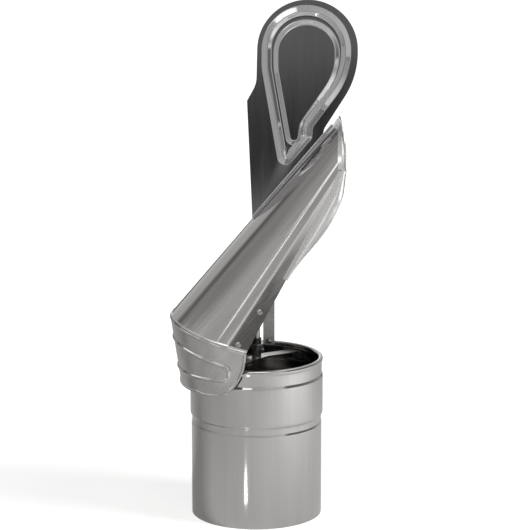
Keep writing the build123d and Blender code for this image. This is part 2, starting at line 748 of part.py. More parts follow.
# Wind fin: plate with two pressed beads, and a foot bent over the channel's crown
with BuildPart() as wind_fin:
    heel, heel_end, toe = [
        MITRE_CORNER + SPINE * along for along in (FIN_HEEL, FIN_HEEL + FIN_HEEL_LENGTH, FIN_TOE)
    ]
    with BuildSketch(Plane.XZ.offset(-FIN_SHEET / 2)):
        with BuildLine():
            head = CenterArc((FIN_CENTRE_X, RIM + FIN_CENTRE_RISE), FIN_RADIUS, 0, 180)
            FilletPolyline(
                head @ 1,
                *from_head(FIN_BACK_CORNERS),
                (heel.X, heel.Z),
                (heel_end.X, heel_end.Z),
                (heel_end.X, heel_end.Z - FIN_ROOT),
                (toe.X, toe.Z - FIN_ROOT),
                *from_head(FIN_FRONT_CORNERS),
                head @ 0,
                radius=[corner for *_, corner in FIN_BACK_CORNERS]
                + [FIN_HEEL_CORNER, 0, 0, 0]
                + [corner for *_, corner in FIN_FRONT_CORNERS],
            )
        make_face()
    extrude(amount=FIN_SHEET)
    beads = (
        (OUTER_BEAD_RADIUS, OUTER_BEAD_BACK, OUTER_BEAD_LOW, OUTER_BEAD_CORNERS, OUTER_BEAD_WIDTH),
        (INNER_BEAD_RADIUS, INNER_BEAD_BACK, INNER_BEAD_LOW, INNER_BEAD_CORNERS, INNER_BEAD_WIDTH),
    )
    for bead in beads:
        extrude(bead_outline(Plane.XZ.offset(FIN_SHEET / 2), *bead), amount=BEAD_HEIGHT, taper=BEAD_SLOPE)
        groove = bead_outline(Plane.XZ.offset(-FIN_SHEET / 2), *bead)
        extrude(groove, amount=BEAD_HEIGHT, taper=BEAD_SLOPE, mode=Mode.SUBTRACT)
    add(channel_core(SEAT), mode=Mode.SUBTRACT)
    add(fin_foot())
    add(hood_drill, mode=Mode.SUBTRACT)

with BuildPart() as fin_rivets:
    fin_rivet = make_rivet(FIN_SHEET + SHEET + 3 * SEAT)
    with Locations(*foot_rivet_places):
        add(fin_rivet)

def strap_room(plate_under):
    """Space inside the channel under the cross strap's plate and between its tabs."""
    with BuildPart() as room:
        add(channel_core(-SHEET - SEAT - STRAP_SHEET, reach=SPAN / 10))
        add(box_between((-SPAN, -SPAN, 0), (SPAN, SPAN, plate_under)), mode=Mode.INTERSECT)
    return room.part


# Cross strap: a bent strap from side to side of the channel, wider in its middle
post_tab_end = POST_TAB - POST_THICKNESS / 2
post_rivet_grip = STRAP_SHEET + POST_THICKNESS + 3 * SEAT
post_top_place = Plane(origin=(post_middle, post_tab_end - POST_RIVET_IN, plate_top + SEAT))
post_foot_place = Plane(
    origin=(post_middle, tab_front_y - SEAT, lower_plate_top + LOWER_TAB_RIVET),
    z_dir=(0, -1, 0),
)
post_drill = drill([post_top_place, post_foot_place])

with BuildPart() as cross_strap:
    strap_back = strap_x - CROSS_STRAP_WIDTH / 2
    strap_front = strap_x + CROSS_STRAP_WIDTH / 2
    add(box_between((strap_back, -SPAN, plate_foot - SPAN / 10), (strap_front, SPAN, plate_top)))
    add(strap_room(plate_foot), mode=Mode.SUBTRACT)
    add(channel_core(-SHEET - SEAT), mode=Mode.INTERSECT)
    tab_foot_z = strap_rivet_places[0].origin.Z - CROSS_TAB_DOWN
    add(box_between((-SPAN, -SPAN, 0), (SPAN, SPAN, tab_foot_z)), mode=Mode.SUBTRACT)
    add(
        box_between(
            (-CROSS_PLATE_BACK, -CROSS_PLATE_HALF, plate_foot),
            (post_front, CROSS_PLATE_HALF, plate_top),
        )
    )
    with Locations((0, 0, plate_foot)):
        Cylinder(STUD_RADIUS + SEAT, SPAN / 10, mode=Mode.SUBTRACT)
    add([hood_drill, post_drill], mode=Mode.SUBTRACT)

with BuildPart() as cross_strap_rivets:
    strap_rivet = make_rivet(SHEET + STRAP_SHEET + 3 * SEAT)
    with Locations(*strap_rivet_places):
        add(strap_rivet)

# Bearing cup under the strap, the ball in its roof and the nut that holds it
with BuildPart() as bearing_cup:
    add(ring(CUP_RADIUS, AXLE_RADIUS + RUNNING_FIT, CUP_LENGTH, cup_top - CUP_LENGTH))
    stud_length = STRAP_SHEET + WASHER_THICKNESS + NUT_HEIGHT + STUD_END + 3 * SEAT
    with BuildSketch(Plane.XY.offset(bore_top)):
        Circle(CUP_RADIUS)
    extrude(amount=CUP_ROOF)
    with BuildSketch(Plane.XY.offset(cup_top)):
        Circle(STUD_RADIUS)
    extrude(amount=stud_length)
    with Locations((0, 0, ball_z)):
        Sphere(BALL_RADIUS + BALL_PLAY, mode=Mode.SUBTRACT)

with BuildPart() as thrust_ball:
    with Locations((0, 0, ball_z)):
        Sphere(BALL_RADIUS)

with BuildPart() as cup_washer:
    add(ring(WASHER_RADIUS, STUD_RADIUS + SEAT, WASHER_THICKNESS, plate_top + SEAT))

with BuildPart() as cup_nut:
    with BuildSketch(Plane.XY.offset(plate_top + WASHER_THICKNESS + 2 * SEAT)):
        RegularPolygon(NUT_ACROSS_FLATS / 2, 6, major_radius=False)
        Circle(STUD_RADIUS + SEAT, mode=Mode.SUBTRACT)
    extrude(amount=NUT_HEIGHT)

# Hanger post from the strap down to the lower bearing, which keeps the hood upright on the axle
with BuildPart() as hanger_post:
    with BuildSketch(Plane.YZ.offset(post_back)):
        with BuildLine():
            FilletPolyline(
                (-POST_THICKNESS / 2, lower_plate_top + SEAT),
                (-POST_THICKNESS / 2, plate_foot - SEAT),
                (post_tab_end, plate_foot - SEAT),
                radius=POST_BEND,
            )
            offset(amount=POST_THICKNESS, side=Side.RIGHT)
        make_face()
    extrude(amount=POST_WIDTH)
    add(post_drill, mode=Mode.SUBTRACT)

with BuildPart() as lower_bearing_plate:
    with BuildSketch(Plane.XY.offset(lower_plate_foot)):
        Circle(LOWER_PLATE_RADIUS)
        with Locations((0, tab_front_y)):
            Rectangle(post_front, LOWER_PLATE_RADIUS - tab_front_y, align=Align.MIN)
        Circle(BUSH_RADIUS + SEAT, mode=Mode.SUBTRACT)
    extrude(amount=STRAP_SHEET)
    add(
        box_between(
            (post_back, tab_front_y, lower_plate_foot),
            (post_front, tab_front_y + STRAP_SHEET, lower_plate_top + LOWER_TAB),
        )
    )
    add(post_drill, mode=Mode.SUBTRACT)

with BuildPart() as lower_bearing_bush:
    add(ring(BUSH_FLANGE_RADIUS, AXLE_RADIUS + RUNNING_FIT, BUSH_FLANGE, bush_foot))
    add(ring(BUSH_RADIUS, AXLE_RADIUS + RUNNING_FIT, BUSH_HEIGHT, bush_foot + BUSH_FLANGE))

with BuildPart() as post_rivets:
    post_rivet = make_rivet(post_rivet_grip)
    with Locations(post_top_place, post_foot_place):
        add(post_rivet)

pieces = {
    "flue_pipe": flue_pipe,
    "bridge_strap": bridge_strap,
    "bridge_rivets": bridge_rivets,
    "axle_sleeve": axle_sleeve,
    "axle_set_screw": axle_set_screw,
    "axle_rod": axle_rod,
    "axle_circlip": axle_circlip,
    "hood_channel": hood_channel,
    "mouth_lip": mouth_lip,
    "hood_skirt": hood_skirt,
    "seam_rivets": seam_rivets,
    "wind_fin": wind_fin,
    "fin_rivets": fin_rivets,
    "cross_strap": cross_strap,
    "cross_strap_rivets": cross_strap_rivets,
    "bearing_cup": bearing_cup,
    "thrust_ball": thrust_ball,
    "cup_washer": cup_washer,
    "cup_nut": cup_nut,
    "hanger_post": hanger_post,
    "lower_bearing_plate": lower_bearing_plate,
    "lower_bearing_bush": lower_bearing_bush,
    "post_rivets": post_rivets,
}

os.makedirs("parts", exist_ok=True)
for name, piece in pieces.items():
    piece.part.label = name
    export_step(piece.part, f"parts/{name}.step")
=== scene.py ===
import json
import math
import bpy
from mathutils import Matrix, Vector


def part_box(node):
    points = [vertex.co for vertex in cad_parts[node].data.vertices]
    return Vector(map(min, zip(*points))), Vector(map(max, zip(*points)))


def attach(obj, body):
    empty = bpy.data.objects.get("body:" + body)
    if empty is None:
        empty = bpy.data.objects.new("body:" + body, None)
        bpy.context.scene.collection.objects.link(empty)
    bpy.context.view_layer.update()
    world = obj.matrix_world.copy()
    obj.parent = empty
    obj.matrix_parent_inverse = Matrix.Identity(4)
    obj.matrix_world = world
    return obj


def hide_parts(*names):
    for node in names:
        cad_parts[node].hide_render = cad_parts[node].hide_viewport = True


bl_info = {
    "name": "Turning chimney cowl",
    "version": (1, 0, 0),
    "blender": (4, 5, 0),
    "location": "View3D > Sidebar > Cowl",
    "description": "Sheet metal, bearings and studio stage of a turning chimney cowl, round its packed frame",
    "category": "Add Mesh",
}

import bpy
import numpy as np
from bpy.props import FloatProperty, FloatVectorProperty, IntProperty, PointerProperty
from bpy.types import Operator, Panel, PropertyGroup

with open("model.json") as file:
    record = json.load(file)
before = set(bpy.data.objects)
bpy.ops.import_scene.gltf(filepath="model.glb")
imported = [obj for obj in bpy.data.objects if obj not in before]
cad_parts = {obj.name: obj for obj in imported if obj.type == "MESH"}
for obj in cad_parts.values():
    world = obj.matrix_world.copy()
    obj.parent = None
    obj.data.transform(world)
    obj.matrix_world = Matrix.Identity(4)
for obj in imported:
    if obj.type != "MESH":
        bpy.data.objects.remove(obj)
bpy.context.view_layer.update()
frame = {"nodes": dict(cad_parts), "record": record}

MM = 0.001
PICTURE_PIXELS = 530
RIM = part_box("flue_pipe")[1].z
SPIGOT = next(mount for mount in frame["record"]["mounts"] if mount["name"] == "spigot")["dims"]

# Across the hood, towards its far side in the photograph
SIDEWAYS = np.array((0.0, 1.0, 0.0))

# Steps along a rounded corner and along the pipe's wall
ARC_STEP = 0.35 * MM
WALL_STEP = 4 * MM
# Numbers of points: rows, and those on each flat side and round the half ellipse of a section
CHANNEL_POINTS = (90, 10, 161)
SKIRT_POINTS = (120, 24, 241)
SEAM_POINTS = (33, 12, 201)
# Points round the rim's curl and across the lip's flare
CURL_POINTS = 40
LIP_ARC_POINTS = 18
# The foot's rows, and its points across the strip and round the bend
FOOT_POINTS = (60, 16, 8)


def metres(name, description, default):
    """A length property whose default is written in metres."""
    return FloatProperty(name=name, description=description, default=default, unit="LENGTH", precision=5)


def millimetres(name, description, default):
    """A length property whose default is written in millimetres."""
    return metres(name, description, default * MM)


def degrees(name, description, default):
    """An angle property whose default is written in degrees."""
    return FloatProperty(name=name, description=description, default=math.radians(default), subtype="ANGLE")


def srgb(hex_value):
    """Linear RGBA of an sRGB hex value such as "8f8d8a"."""
    channels = [int(hex_value[index:index + 2], 16) / 255 for index in (0, 2, 4)]
    linear = [c / 12.92 if c <= 0.04045 else ((c + 0.055) / 1.055) ** 2.4 for c in channels]
    return (*linear, 1.0)


def colour(name, description, hex_value):
    """A colour property whose default is written as an sRGB hex value."""
    return FloatVectorProperty(
        name=name, description=description, default=srgb(hex_value), subtype="COLOR", size=4, min=0.0, max=1.0
    )


class PipeSizes(PropertyGroup):
    """Sizes of the flue pipe's wall"""

    body_radius: millimetres("Body radius", "Outside of the pipe over its groove", 76.0)
    groove_width: millimetres("Groove width", "Height of the rolled groove", 11.5)
    groove_depth: millimetres("Groove depth", "Depth of the rolled groove", 1.9)
    neck_radius: millimetres("Neck radius", "Outside of the neck under the rim", 74.8)
    neck_height: millimetres("Neck height", "From the shoulder to the rim's top", 19.0)
    rim_radius: millimetres("Rim radius", "Outside of the flared rim", 75.9)
    curl_radius: millimetres("Curl radius", "Radius of the curl that turns the rim inwards", 2.6)
    curl_turn: degrees("Curl turn", "How far round the curl goes", 250.0)
    step_run: millimetres("Step run", "Height that each step in the wall takes", 2.4)
    bend: millimetres("Bend", "Radius of the sheet's bends", 1.6)


class HoodSizes(PropertyGroup):
    """Sizes of the channel, the lip, the skirt and the seam"""

    sheet: millimetres("Sheet", "Thickness of the hood's and the pipe's sheet", 0.8)
    spine_angle: degrees("Spine angle", "Rise of the channel's crown line", 49.65)
    skirt_lean: degrees("Skirt lean", "Lean of the skirt from the upright", 8.7)
    mitre_back: millimetres("Mitre back", "From the axle back to the crown's lower end", 98.3)
    mitre_rise: millimetres("Mitre rise", "From the rim up to the crown's lower end", 48.1)
    mitre_depth: millimetres("Mitre depth", "Depth of the section at the mitre", 90.5)
    mitre_half_width: millimetres("Mitre half width", "Half the width at the mitre", 85.0)
    mitre_straight: millimetres("Mitre straight", "Flat side of the section at the mitre", 20.0)
    spine_length: millimetres("Spine length", "Crown line to the section at the far end", 312.0)
    end_depth: millimetres("End depth", "Depth of the section at the far end", 26.0)
    end_half_width: millimetres("End half width", "Half the width at the far end", 52.0)
    end_straight: millimetres("End straight", "Flat side of the section at the far end", 2.0)
    mouth_x: millimetres("Mouth", "From the axle to the upright edge of the mouth", 94.0)
    tip_back: millimetres("Tip back", "How far the mouth's edge rounds back at the crown", 2.5)
    tip_girth: FloatProperty(name="Tip girth", description="Girth where the rounding starts", default=1.5)
    lip_start: millimetres("Lip start", "Up the channel's lower edge to the lip's end", 92.0)
    lip_width: millimetres("Lip width", "Narrowest width of the lip", 1.8)
    lip_bulge: millimetres("Lip bulge", "How much wider the lip is at the mouth's lower corner", 11.0)
    lip_bulge_height: millimetres("Lip bulge height", "Height that the bulge takes", 144.0)
    lip_shoulder: millimetres("Lip shoulder", "How much wider the lip is beside its tip", 6.0)
    lip_shoulder_height: millimetres("Lip shoulder height", "Height that the shoulder takes", 50.0)
    lip_flare: degrees("Lip flare", "How far the lip turns away from the wall", 60.0)
    lip_lap: millimetres("Lip lap", "Flat strip of the lip on the wall", 4.0)
    lip_seat: millimetres("Lip seat", "Gap between the lip and the wall", 0.2)
    skirt_drop: millimetres("Skirt drop", "From the rim down to the hem", 28.5)
    skirt_sweep: millimetres("Skirt sweep", "Length over which the hem sweeps up to the mitre's front", 36.6)
    rib_below: millimetres("Rib below mitre", "From the mitre to the rib's upper run", 21.8)
    rib_above: millimetres("Rib above hem", "From the hem to the rib's lower run", 19.5)
    rib_behind: millimetres("Rib behind edge", "From the mitre's front back to the rib", 20.0)
    rib_corner: millimetres("Rib corner", "Radius of the rib's corners", 6.0)
    rib_height: millimetres("Rib height", "How far the rib stands out", 1.4)
    rib_width: millimetres("Rib width", "Width of the rib", 5.0)
    hem_height: millimetres("Hem height", "Width of the folded hem", 3.0)
    hem_thickness: millimetres("Hem thickness", "How much the fold adds to the sheet", 1.2)
    seam_width: millimetres("Seam width", "Width of the fold on each side of the mitre", 3.2)
    seam_height: millimetres("Seam height", "How far the folded seam stands out", 0.9)


class FinSizes(PropertyGroup):
    """Sizes of the wind fin"""

    sheet: millimetres("Sheet", "Thickness of the fin's sheet", 1.0)
    centre_x: millimetres("Centre", "From the axle to the centre of the fin's head", 57.1)
    centre_rise: millimetres("Centre rise", "From the rim to the centre of the fin's head", 350.5)
    radius: millimetres("Radius", "Radius of the fin's head", 56.15)
    ridge_height: millimetres("Ridge height", "How far the ridge stands out of the plate", 2.2)
    groove_depth: millimetres("Groove depth", "How far the groove inside the ridge is pressed back", 0.6)
    panel_height: millimetres("Panel height", "How far the panel inside the groove stands out", 2.0)
    ridge_rise: millimetres("Ridge rise", "Width of the ridge's outer flank", 6.3)
    ridge_fall: millimetres("Ridge fall", "Width of the flank from the ridge into the groove", 4.4)
    panel_inset: millimetres("Panel inset", "From the panel's outline to the start of its flank", 1.0)
    panel_rise: millimetres("Panel rise", "Width of the flank from the groove up to the panel", 5.0)
    heel: millimetres("Heel", "Up the crown line to the fin's heel", 144.7)
    toe: millimetres("Toe", "Up the crown line to the fin's toe", 265.0)
    foot_start: millimetres("Foot start", "Up the crown line to the start of the fin's foot", 147.0)
    foot_width: millimetres("Foot width", "Width of the foot at its start", 9.0)
    foot_tip_width: millimetres("Foot tip width", "Width of the foot at the tip", 20.0)
    foot_gap: millimetres("Foot gap", "Between the foot's tip and the lip", 4.0)


class SheetColours(PropertyGroup):
    """Colours of the sheets, from their darker streaks to their lighter ones"""

    pipe_dark: colour("Pipe, dark", "Darker streaks of the pipe", "c2c0bf")
    pipe_light: colour("Pipe, light", "Lighter streaks of the pipe", "c9c7c6")
    hood_dark: colour("Hood, dark", "Darker streaks of channel and skirt", "bab8b6")
    hood_light: colour("Hood, light", "Lighter streaks of channel and skirt", "c8c6c4")
    # The lip's colours are far lighter than the hood's: a painted sheen that stands in for the highlight
    # along the lip
    lip_painted_sheen_dark: colour("Lip, dark", "Darker streaks of the lip", "e6e5e3")
    lip_painted_sheen_light: colour("Lip, light", "Lighter streaks of the lip", "f0efed")
    fin_dark: colour("Fin, dark", "Darker streaks of the fin", "c2c1c2")
    fin_light: colour("Fin, light", "Lighter streaks of the fin", "cccbcc")


class StageSizes(PropertyGroup):
    """Camera and floor"""

    camera_x: metres("Camera x", "Camera place across the view", 0.0097)
    camera_y: metres("Camera y", "Camera place in front of the cowl", -2.6361)
    camera_z: metres("Camera height", "Camera height over the floor", 0.8503)
    camera_pitch: degrees("Camera pitch", "How far the camera looks down", 12.0)
    focal_pixels: FloatProperty(
        name="Focal length", description="In pixels of the picture", default=2372.0, subtype="PIXEL"
    )
    floor_colour: colour("Floor colour", "Matt board under the cowl", "e9e9e8")
    floor_size: metres("Floor", "Width of the white floor", 40.0)
    floor_front: metres("Floor front", "From the axle to the white floor's front edge", 1.1)
    wing_start: metres("Wing start", "From the axle to the floor's forward part at the right", 0.45)
    wing_front: metres("Wing front", "From the axle to that part's front edge", 2.4)
    samples_round: IntProperty(name="Samples round", description="Points round a turned surface", default=192)


# Directions and arrays


def direction(angle):
    """Unit vector of the side view at an angle over +X: (cos a, 0, sin a)."""
    return np.array((math.cos(angle), 0.0, math.sin(angle)))


def unit(vectors):
    """Vectors divided by their lengths. A vector of no length stays as it is."""
    return vectors / np.maximum(np.linalg.norm(vectors, axis=-1, keepdims=True), 1e-12)


def grid_normals(grid):
    """Unit normals of a grid: the cross product of its two tangents, by central differences."""
    return unit(np.cross(np.gradient(grid, axis=0), np.gradient(grid, axis=1)))


def smooth_step(value):
    """0 below 0, 1 above 1 and 3t^2 - 2t^3 between."""
    t = np.clip(value, 0.0, 1.0)
    return t * t * (3.0 - 2.0 * t)


def rounded_path(corners, radii):
    """Points of an open polyline whose corners are arcs.

    Each corner of radius r is cut r*tan(turn/2) before and after it, and the arc between has a point about
    every ARC_STEP of its length. A radius of 0 keeps the corner. The two ends stay as they are.
    """
    corners = [np.asarray(corner, float) for corner in corners]
    points = [corners[0][None]]
    for previous, corner, following, radius in zip(corners, corners[1:], corners[2:], radii[1:]):
        before = unit(corner - previous)
        after = unit(following - corner)
        turn = math.atan2(before[0] * after[1] - before[1] * after[0], float(before @ after))
        if radius <= 0 or abs(turn) < 1e-6:
            points.append(corner[None])
            continue
        cut = radius * math.tan(abs(turn) / 2)
        side = math.copysign(1.0, turn)
        centre = corner - before * cut + side * radius * np.array((-before[1], before[0]))
        angle = math.atan2(before[1], before[0]) - side * math.pi / 2
        steps = max(4, int(abs(turn) * radius / ARC_STEP))
        angles = angle + np.linspace(0, turn, steps + 1)
        points.append(centre + radius * np.stack((np.cos(angles), np.sin(angles)), -1))
    return np.concatenate(points + [corners[-1][None]])


def evenly(points, step, closed=False):
    """The same path with points about a step apart along its length, its own corners kept."""
    ends = np.roll(points, -1, 0) if closed else points[1:]
    starts = points if closed else points[:-1]
    pieces = []
    for start, end in zip(starts, ends):
        count = max(1, int(math.ceil(np.linalg.norm(end - start) / step)))
        pieces.append(start + (end - start) * (np.arange(count) / count)[:, None])
    if not closed:
        pieces.append(points[-1:])
    return np.concatenate(pieces)


def left_normals(points):
    """Unit normals to the left of a flat path."""
    run = unit(np.gradient(points, axis=0))
    return np.stack((-run[:, 1], run[:, 0]), -1)


# Meshes from grids


def quads(rows, columns, wrap_rows, wrap_columns):
    """Corner indices of the quads between neighbouring points of a grid, as one array."""
    row = np.arange(rows if wrap_rows else rows - 1)
    column = np.arange(columns if wrap_columns else columns - 1)
    here, there = np.meshgrid(row, column, indexing="ij")
    below = (here + 1) % rows
    beside = (there + 1) % columns
    pairs = ((here, there), (below, there), (below, beside), (here, beside))
    return np.stack([(place * columns + side).ravel() for place, side in pairs], -1)


def new_object(name, data):
    """Object of a mesh, a light or a camera, linked to the scene."""
    made = bpy.data.objects.new(name, data)
    bpy.context.scene.collection.objects.link(made)
    return made


def new_piece(name, points, faces, body, finish_name, node, sharp=35.0):
    """Mesh object of an array of points and lists of faces, finished, tied to its body and in a node's place.

    Edges that turn by more than the sharp angle, in degrees, aren't shaded smooth.
    """
    mesh = bpy.data.meshes.new(name)
    mesh.from_pydata(np.asarray(points).reshape(-1, 3).tolist(), [], [list(face) for face in faces])
    mesh.validate()
    mesh.shade_smooth()
    mesh.set_sharp_from_angle(angle=math.radians(sharp))
    mesh.materials.append(finish(finish_name))
    piece = new_object(name, mesh)
    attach(piece, body)
    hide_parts(node)


def new_sheet(name, outer, inner, slot, finish_name, node, flip=False):
    """Sheet of the hood from the grids of its two sides.

    Each row runs out along one side and back along the other, and the two ends are closed. The faces are
    flipped where the grids run the other way round.
    """
    rows, columns = outer.shape[:2]
    points = np.concatenate((outer, inner[:, ::-1]), 1)
    near = np.arange(columns - 1)
    first = np.stack((near, near + 1, 2 * columns - 2 - near, 2 * columns - 1 - near), -1)
    last = first[:, ::-1] + (rows - 1) * 2 * columns
    faces = np.concatenate((quads(rows, 2 * columns, False, True), first, last))
    new_piece(name, points, faces[:, ::-1] if flip else faces, "hood", finish_name, node)


def turned(profile, angles):
    """A profile of (radius, height) points turned about +Z: a row of points for each angle."""
    radius, height = profile.T
    x = np.cos(angles)[:, None] * radius
    y = np.sin(angles)[:, None] * radius
    return np.stack((x, y, np.broadcast_to(height, x.shape)), -1)


# The hood's sheet as formulas


class HoodForm:
    """A U section that tapers along the spine from the mitre, and the skirt that hangs from that mitre."""

    def __init__(self, sizes):
        self.sizes = sizes
        mitre_angle = (sizes.spine_angle + sizes.skirt_lean - math.pi / 2) / 2
        self.spine = direction(sizes.spine_angle)
        self.inward = direction(mitre_angle)
        self.across = direction(mitre_angle + math.pi / 2)
        self.down = direction(sizes.skirt_lean - math.pi / 2)
        self.slant = math.sin(sizes.spine_angle - mitre_angle)
        self.corner = np.array((-sizes.mitre_back, 0.0, RIM + sizes.mitre_rise))
        self.front = self.corner + self.inward * sizes.mitre_depth
        end_front = self.corner + self.spine * sizes.spine_length + self.inward * sizes.end_depth
        self.edge_length = float(np.linalg.norm(end_front - self.front))
        self.hem = RIM - sizes.skirt_drop
        # The skirt's swept front edge, a quarter of an ellipse in the side view: its centre and half axes
        centre_x, centre_z = self.front[0] - sizes.skirt_sweep, self.front[2]
        self.sweep = centre_x, centre_z, sizes.skirt_sweep, centre_z - self.hem

    def half_width(self, share):
        """Half the section's width, which changes in proportion to the share of the spine's length."""
        sizes = self.sizes
        return sizes.mitre_half_width + (sizes.end_half_width - sizes.mitre_half_width) * share

    def wall(self, share, girth, out=0.0):
        """Point of the channel's wall, moved out by a distance.

        The share runs 0 to 1 along the spine. The girth runs 0 to 1 up the flat side at +Y, 1 to 3 round the
        half ellipse through the crown at 2, and 3 to 4 down the other flat side. At a girth the section holds
        inward = back * (1 - sin a), y = half_width * cos a, with a = 90 degrees * (girth - 1).
        """
        share, girth = np.broadcast_arrays(np.asarray(share, float), np.asarray(girth, float))
        sizes = self.sizes
        depth = sizes.mitre_depth + (sizes.end_depth - sizes.mitre_depth) * share
        straight = sizes.mitre_straight + (sizes.end_straight - sizes.mitre_straight) * share
        back = depth - straight
        angle = np.clip(girth - 1.0, 0.0, 2.0) * math.pi / 2
        side = np.where(girth < 1.0, girth, np.where(girth > 3.0, 4.0 - girth, 1.0))
        flat = (girth < 1.0) | (girth > 3.0)
        inward = np.where(flat, depth - straight * side, back - (back + out / self.slant) * np.sin(angle))
        y = (self.half_width(share) + out) * np.cos(angle)
        along = self.spine * (sizes.spine_length * share)[..., None]
        return self.corner + along + self.inward * inward[..., None] + SIDEWAYS * y[..., None]

    def wall_normal(self, share, girth):
        """Outward unit normal of the channel's wall, from two small steps on it."""
        step = 1e-4
        round_it = self.wall(share, np.asarray(girth) + step) - self.wall(share, np.asarray(girth) - step)
        along_it = self.wall(np.asarray(share) + step, girth) - self.wall(np.asarray(share) - step, girth)
        return unit(np.cross(round_it, along_it))

    def mouth_share(self, girth):
        """Share at which the wall ends: where x reaches the upright mouth, less a rounding beside the tip."""
        sizes = self.sizes
        start, end = self.wall(0.0, girth)[..., 0], self.wall(1.0, girth)[..., 0]
        beside = 2.0 - np.abs(np.asarray(girth, float) - 2.0)
        rounding = np.clip((beside - sizes.tip_girth) / (2.0 - sizes.tip_girth), 0.0, 1.0)
        return (sizes.mouth_x - sizes.tip_back * rounding**2 - start) / (end - start)

    def lip_width(self, height):
        """Lip's width at a height: a strip, a long sine-squared bulge and a shorter shoulder beside the tip.

        The shoulder is a sine whose way is raised to a power, so that its widest place lies nearer the tip.
        """
        sizes = self.sizes
        lean = 1.4
        foot = self.wall(sizes.lip_start / self.edge_length, 0.0)[2]
        crown = self.wall(self.mouth_share(2.0), 2.0)[2]
        bulge = np.clip((height - foot) / sizes.lip_bulge_height, 0.0, 1.0)
        shoulder = np.clip(1.0 + (height - crown) / sizes.lip_shoulder_height, 0.0, 1.0)
        wider = sizes.lip_bulge * np.sin(math.pi * bulge) ** 2
        return sizes.lip_width + wider + sizes.lip_shoulder * np.sin(math.pi * shoulder**lean)

    def skirt(self, girth, drop):
        """Point of the skirt's wall: the mitre's section carried down along the skirt's lean."""
        return self.wall(0.0, girth) + self.down * drop[..., None]

    def skirt_drop(self, girth):
        """Length of the skirt at a girth, down to the straight hem or to the elliptical sweep at its front.

        In units of the ellipse's half axes, the sweep is where the way down meets a unit circle, the larger
        root of a quadratic.
        """
        point = self.wall(0.0, girth)
        x, z = point[..., 0], point[..., 2]
        to_hem = (z - self.hem) / -self.down[2]
        centre_x, centre_z, a, b = self.sweep
        u, v = (x - centre_x) / a, (z - centre_z) / b
        du, dv = self.down[0] / a, self.down[2] / b
        half = u * du + v * dv
        root = np.sqrt(np.maximum(half**2 - (du**2 + dv**2) * (u**2 + v**2 - 1.0), 0.0))
        to_sweep = (root - half) / (du**2 + dv**2)
        return np.maximum(np.where(x + self.down[0] * to_hem < centre_x, to_hem, to_sweep), 0.0)

    def hem_distance(self, points):
        """Distance in the side view from the skirt's hem and swept front edge, by the ellipse's gradient."""
        centre_x, centre_z, a, b = self.sweep
        x, z = points[..., 0] - centre_x, points[..., 2] - centre_z
        ring = np.sqrt(np.maximum(x**2 / a**2 + z**2 / b**2, 1e-9))
        slope = np.sqrt(x**2 / a**4 + z**2 / b**4) / ring
        return np.where(x < 0.0, points[..., 2] - self.hem, (1.0 - ring) / np.maximum(slope, 1e-6))

    def rib_distance(self, points):
        """Distance in the side view from the rounded panel that the rib runs round."""
        sizes = self.sizes
        behind_skirt = 0.2
        front = self.front[0] - sizes.rib_behind
        foot = self.hem + sizes.rib_above
        upper = self.corner - self.across * sizes.rib_below
        corner = upper + self.inward * ((front - upper[0]) / self.inward[0])
        far = upper - self.inward * behind_skirt
        path = rounded_path(
            [(far[0], far[2]), (corner[0], corner[2]), (front, foot), (far[0], foot)],
            [0, sizes.rib_corner, sizes.rib_corner, 0],
        )
        flat = points[..., (0, 2)].reshape(-1, 2)
        nearest = np.full(len(flat), np.inf)
        for start, end in zip(path[:-1], path[1:]):
            run = end - start
            place = np.clip(((flat - start) @ run) / (run @ run), 0.0, 1.0)
            nearest = np.minimum(nearest, np.linalg.norm(flat - start - place[:, None] * run, axis=1))
        return nearest.reshape(points.shape[:-1])


# Materials


def empty_tree(owner):
    """The node tree of a new material or world, without its first nodes."""
    owner.use_nodes = True
    owner.node_tree.nodes.clear()
    return owner.node_tree


def add_node(tree, kind, links=None, stops=(), **settings):
    """A node with its settings, its ramp's stops and its inputs.

    An input is linked from a socket, or from a node's first output, and otherwise gets a value.
    """
    made = tree.nodes.new("ShaderNode" + kind)
    for key, value in settings.items():
        setattr(made, key, value)
    for index, (place, level) in enumerate(stops):
        ramp = made.color_ramp.elements
        stop = ramp[index] if index < len(ramp) else ramp.new(place)
        stop.position = place
        stop.color = (level, level, level, 1.0)
    for key, value in (links or {}).items():
        if isinstance(value, bpy.types.Node):
            value = value.outputs[0]
        if isinstance(value, bpy.types.NodeSocket):
            tree.links.new(value, made.inputs[key])
        else:
            made.inputs[key].default_value = value
    return made


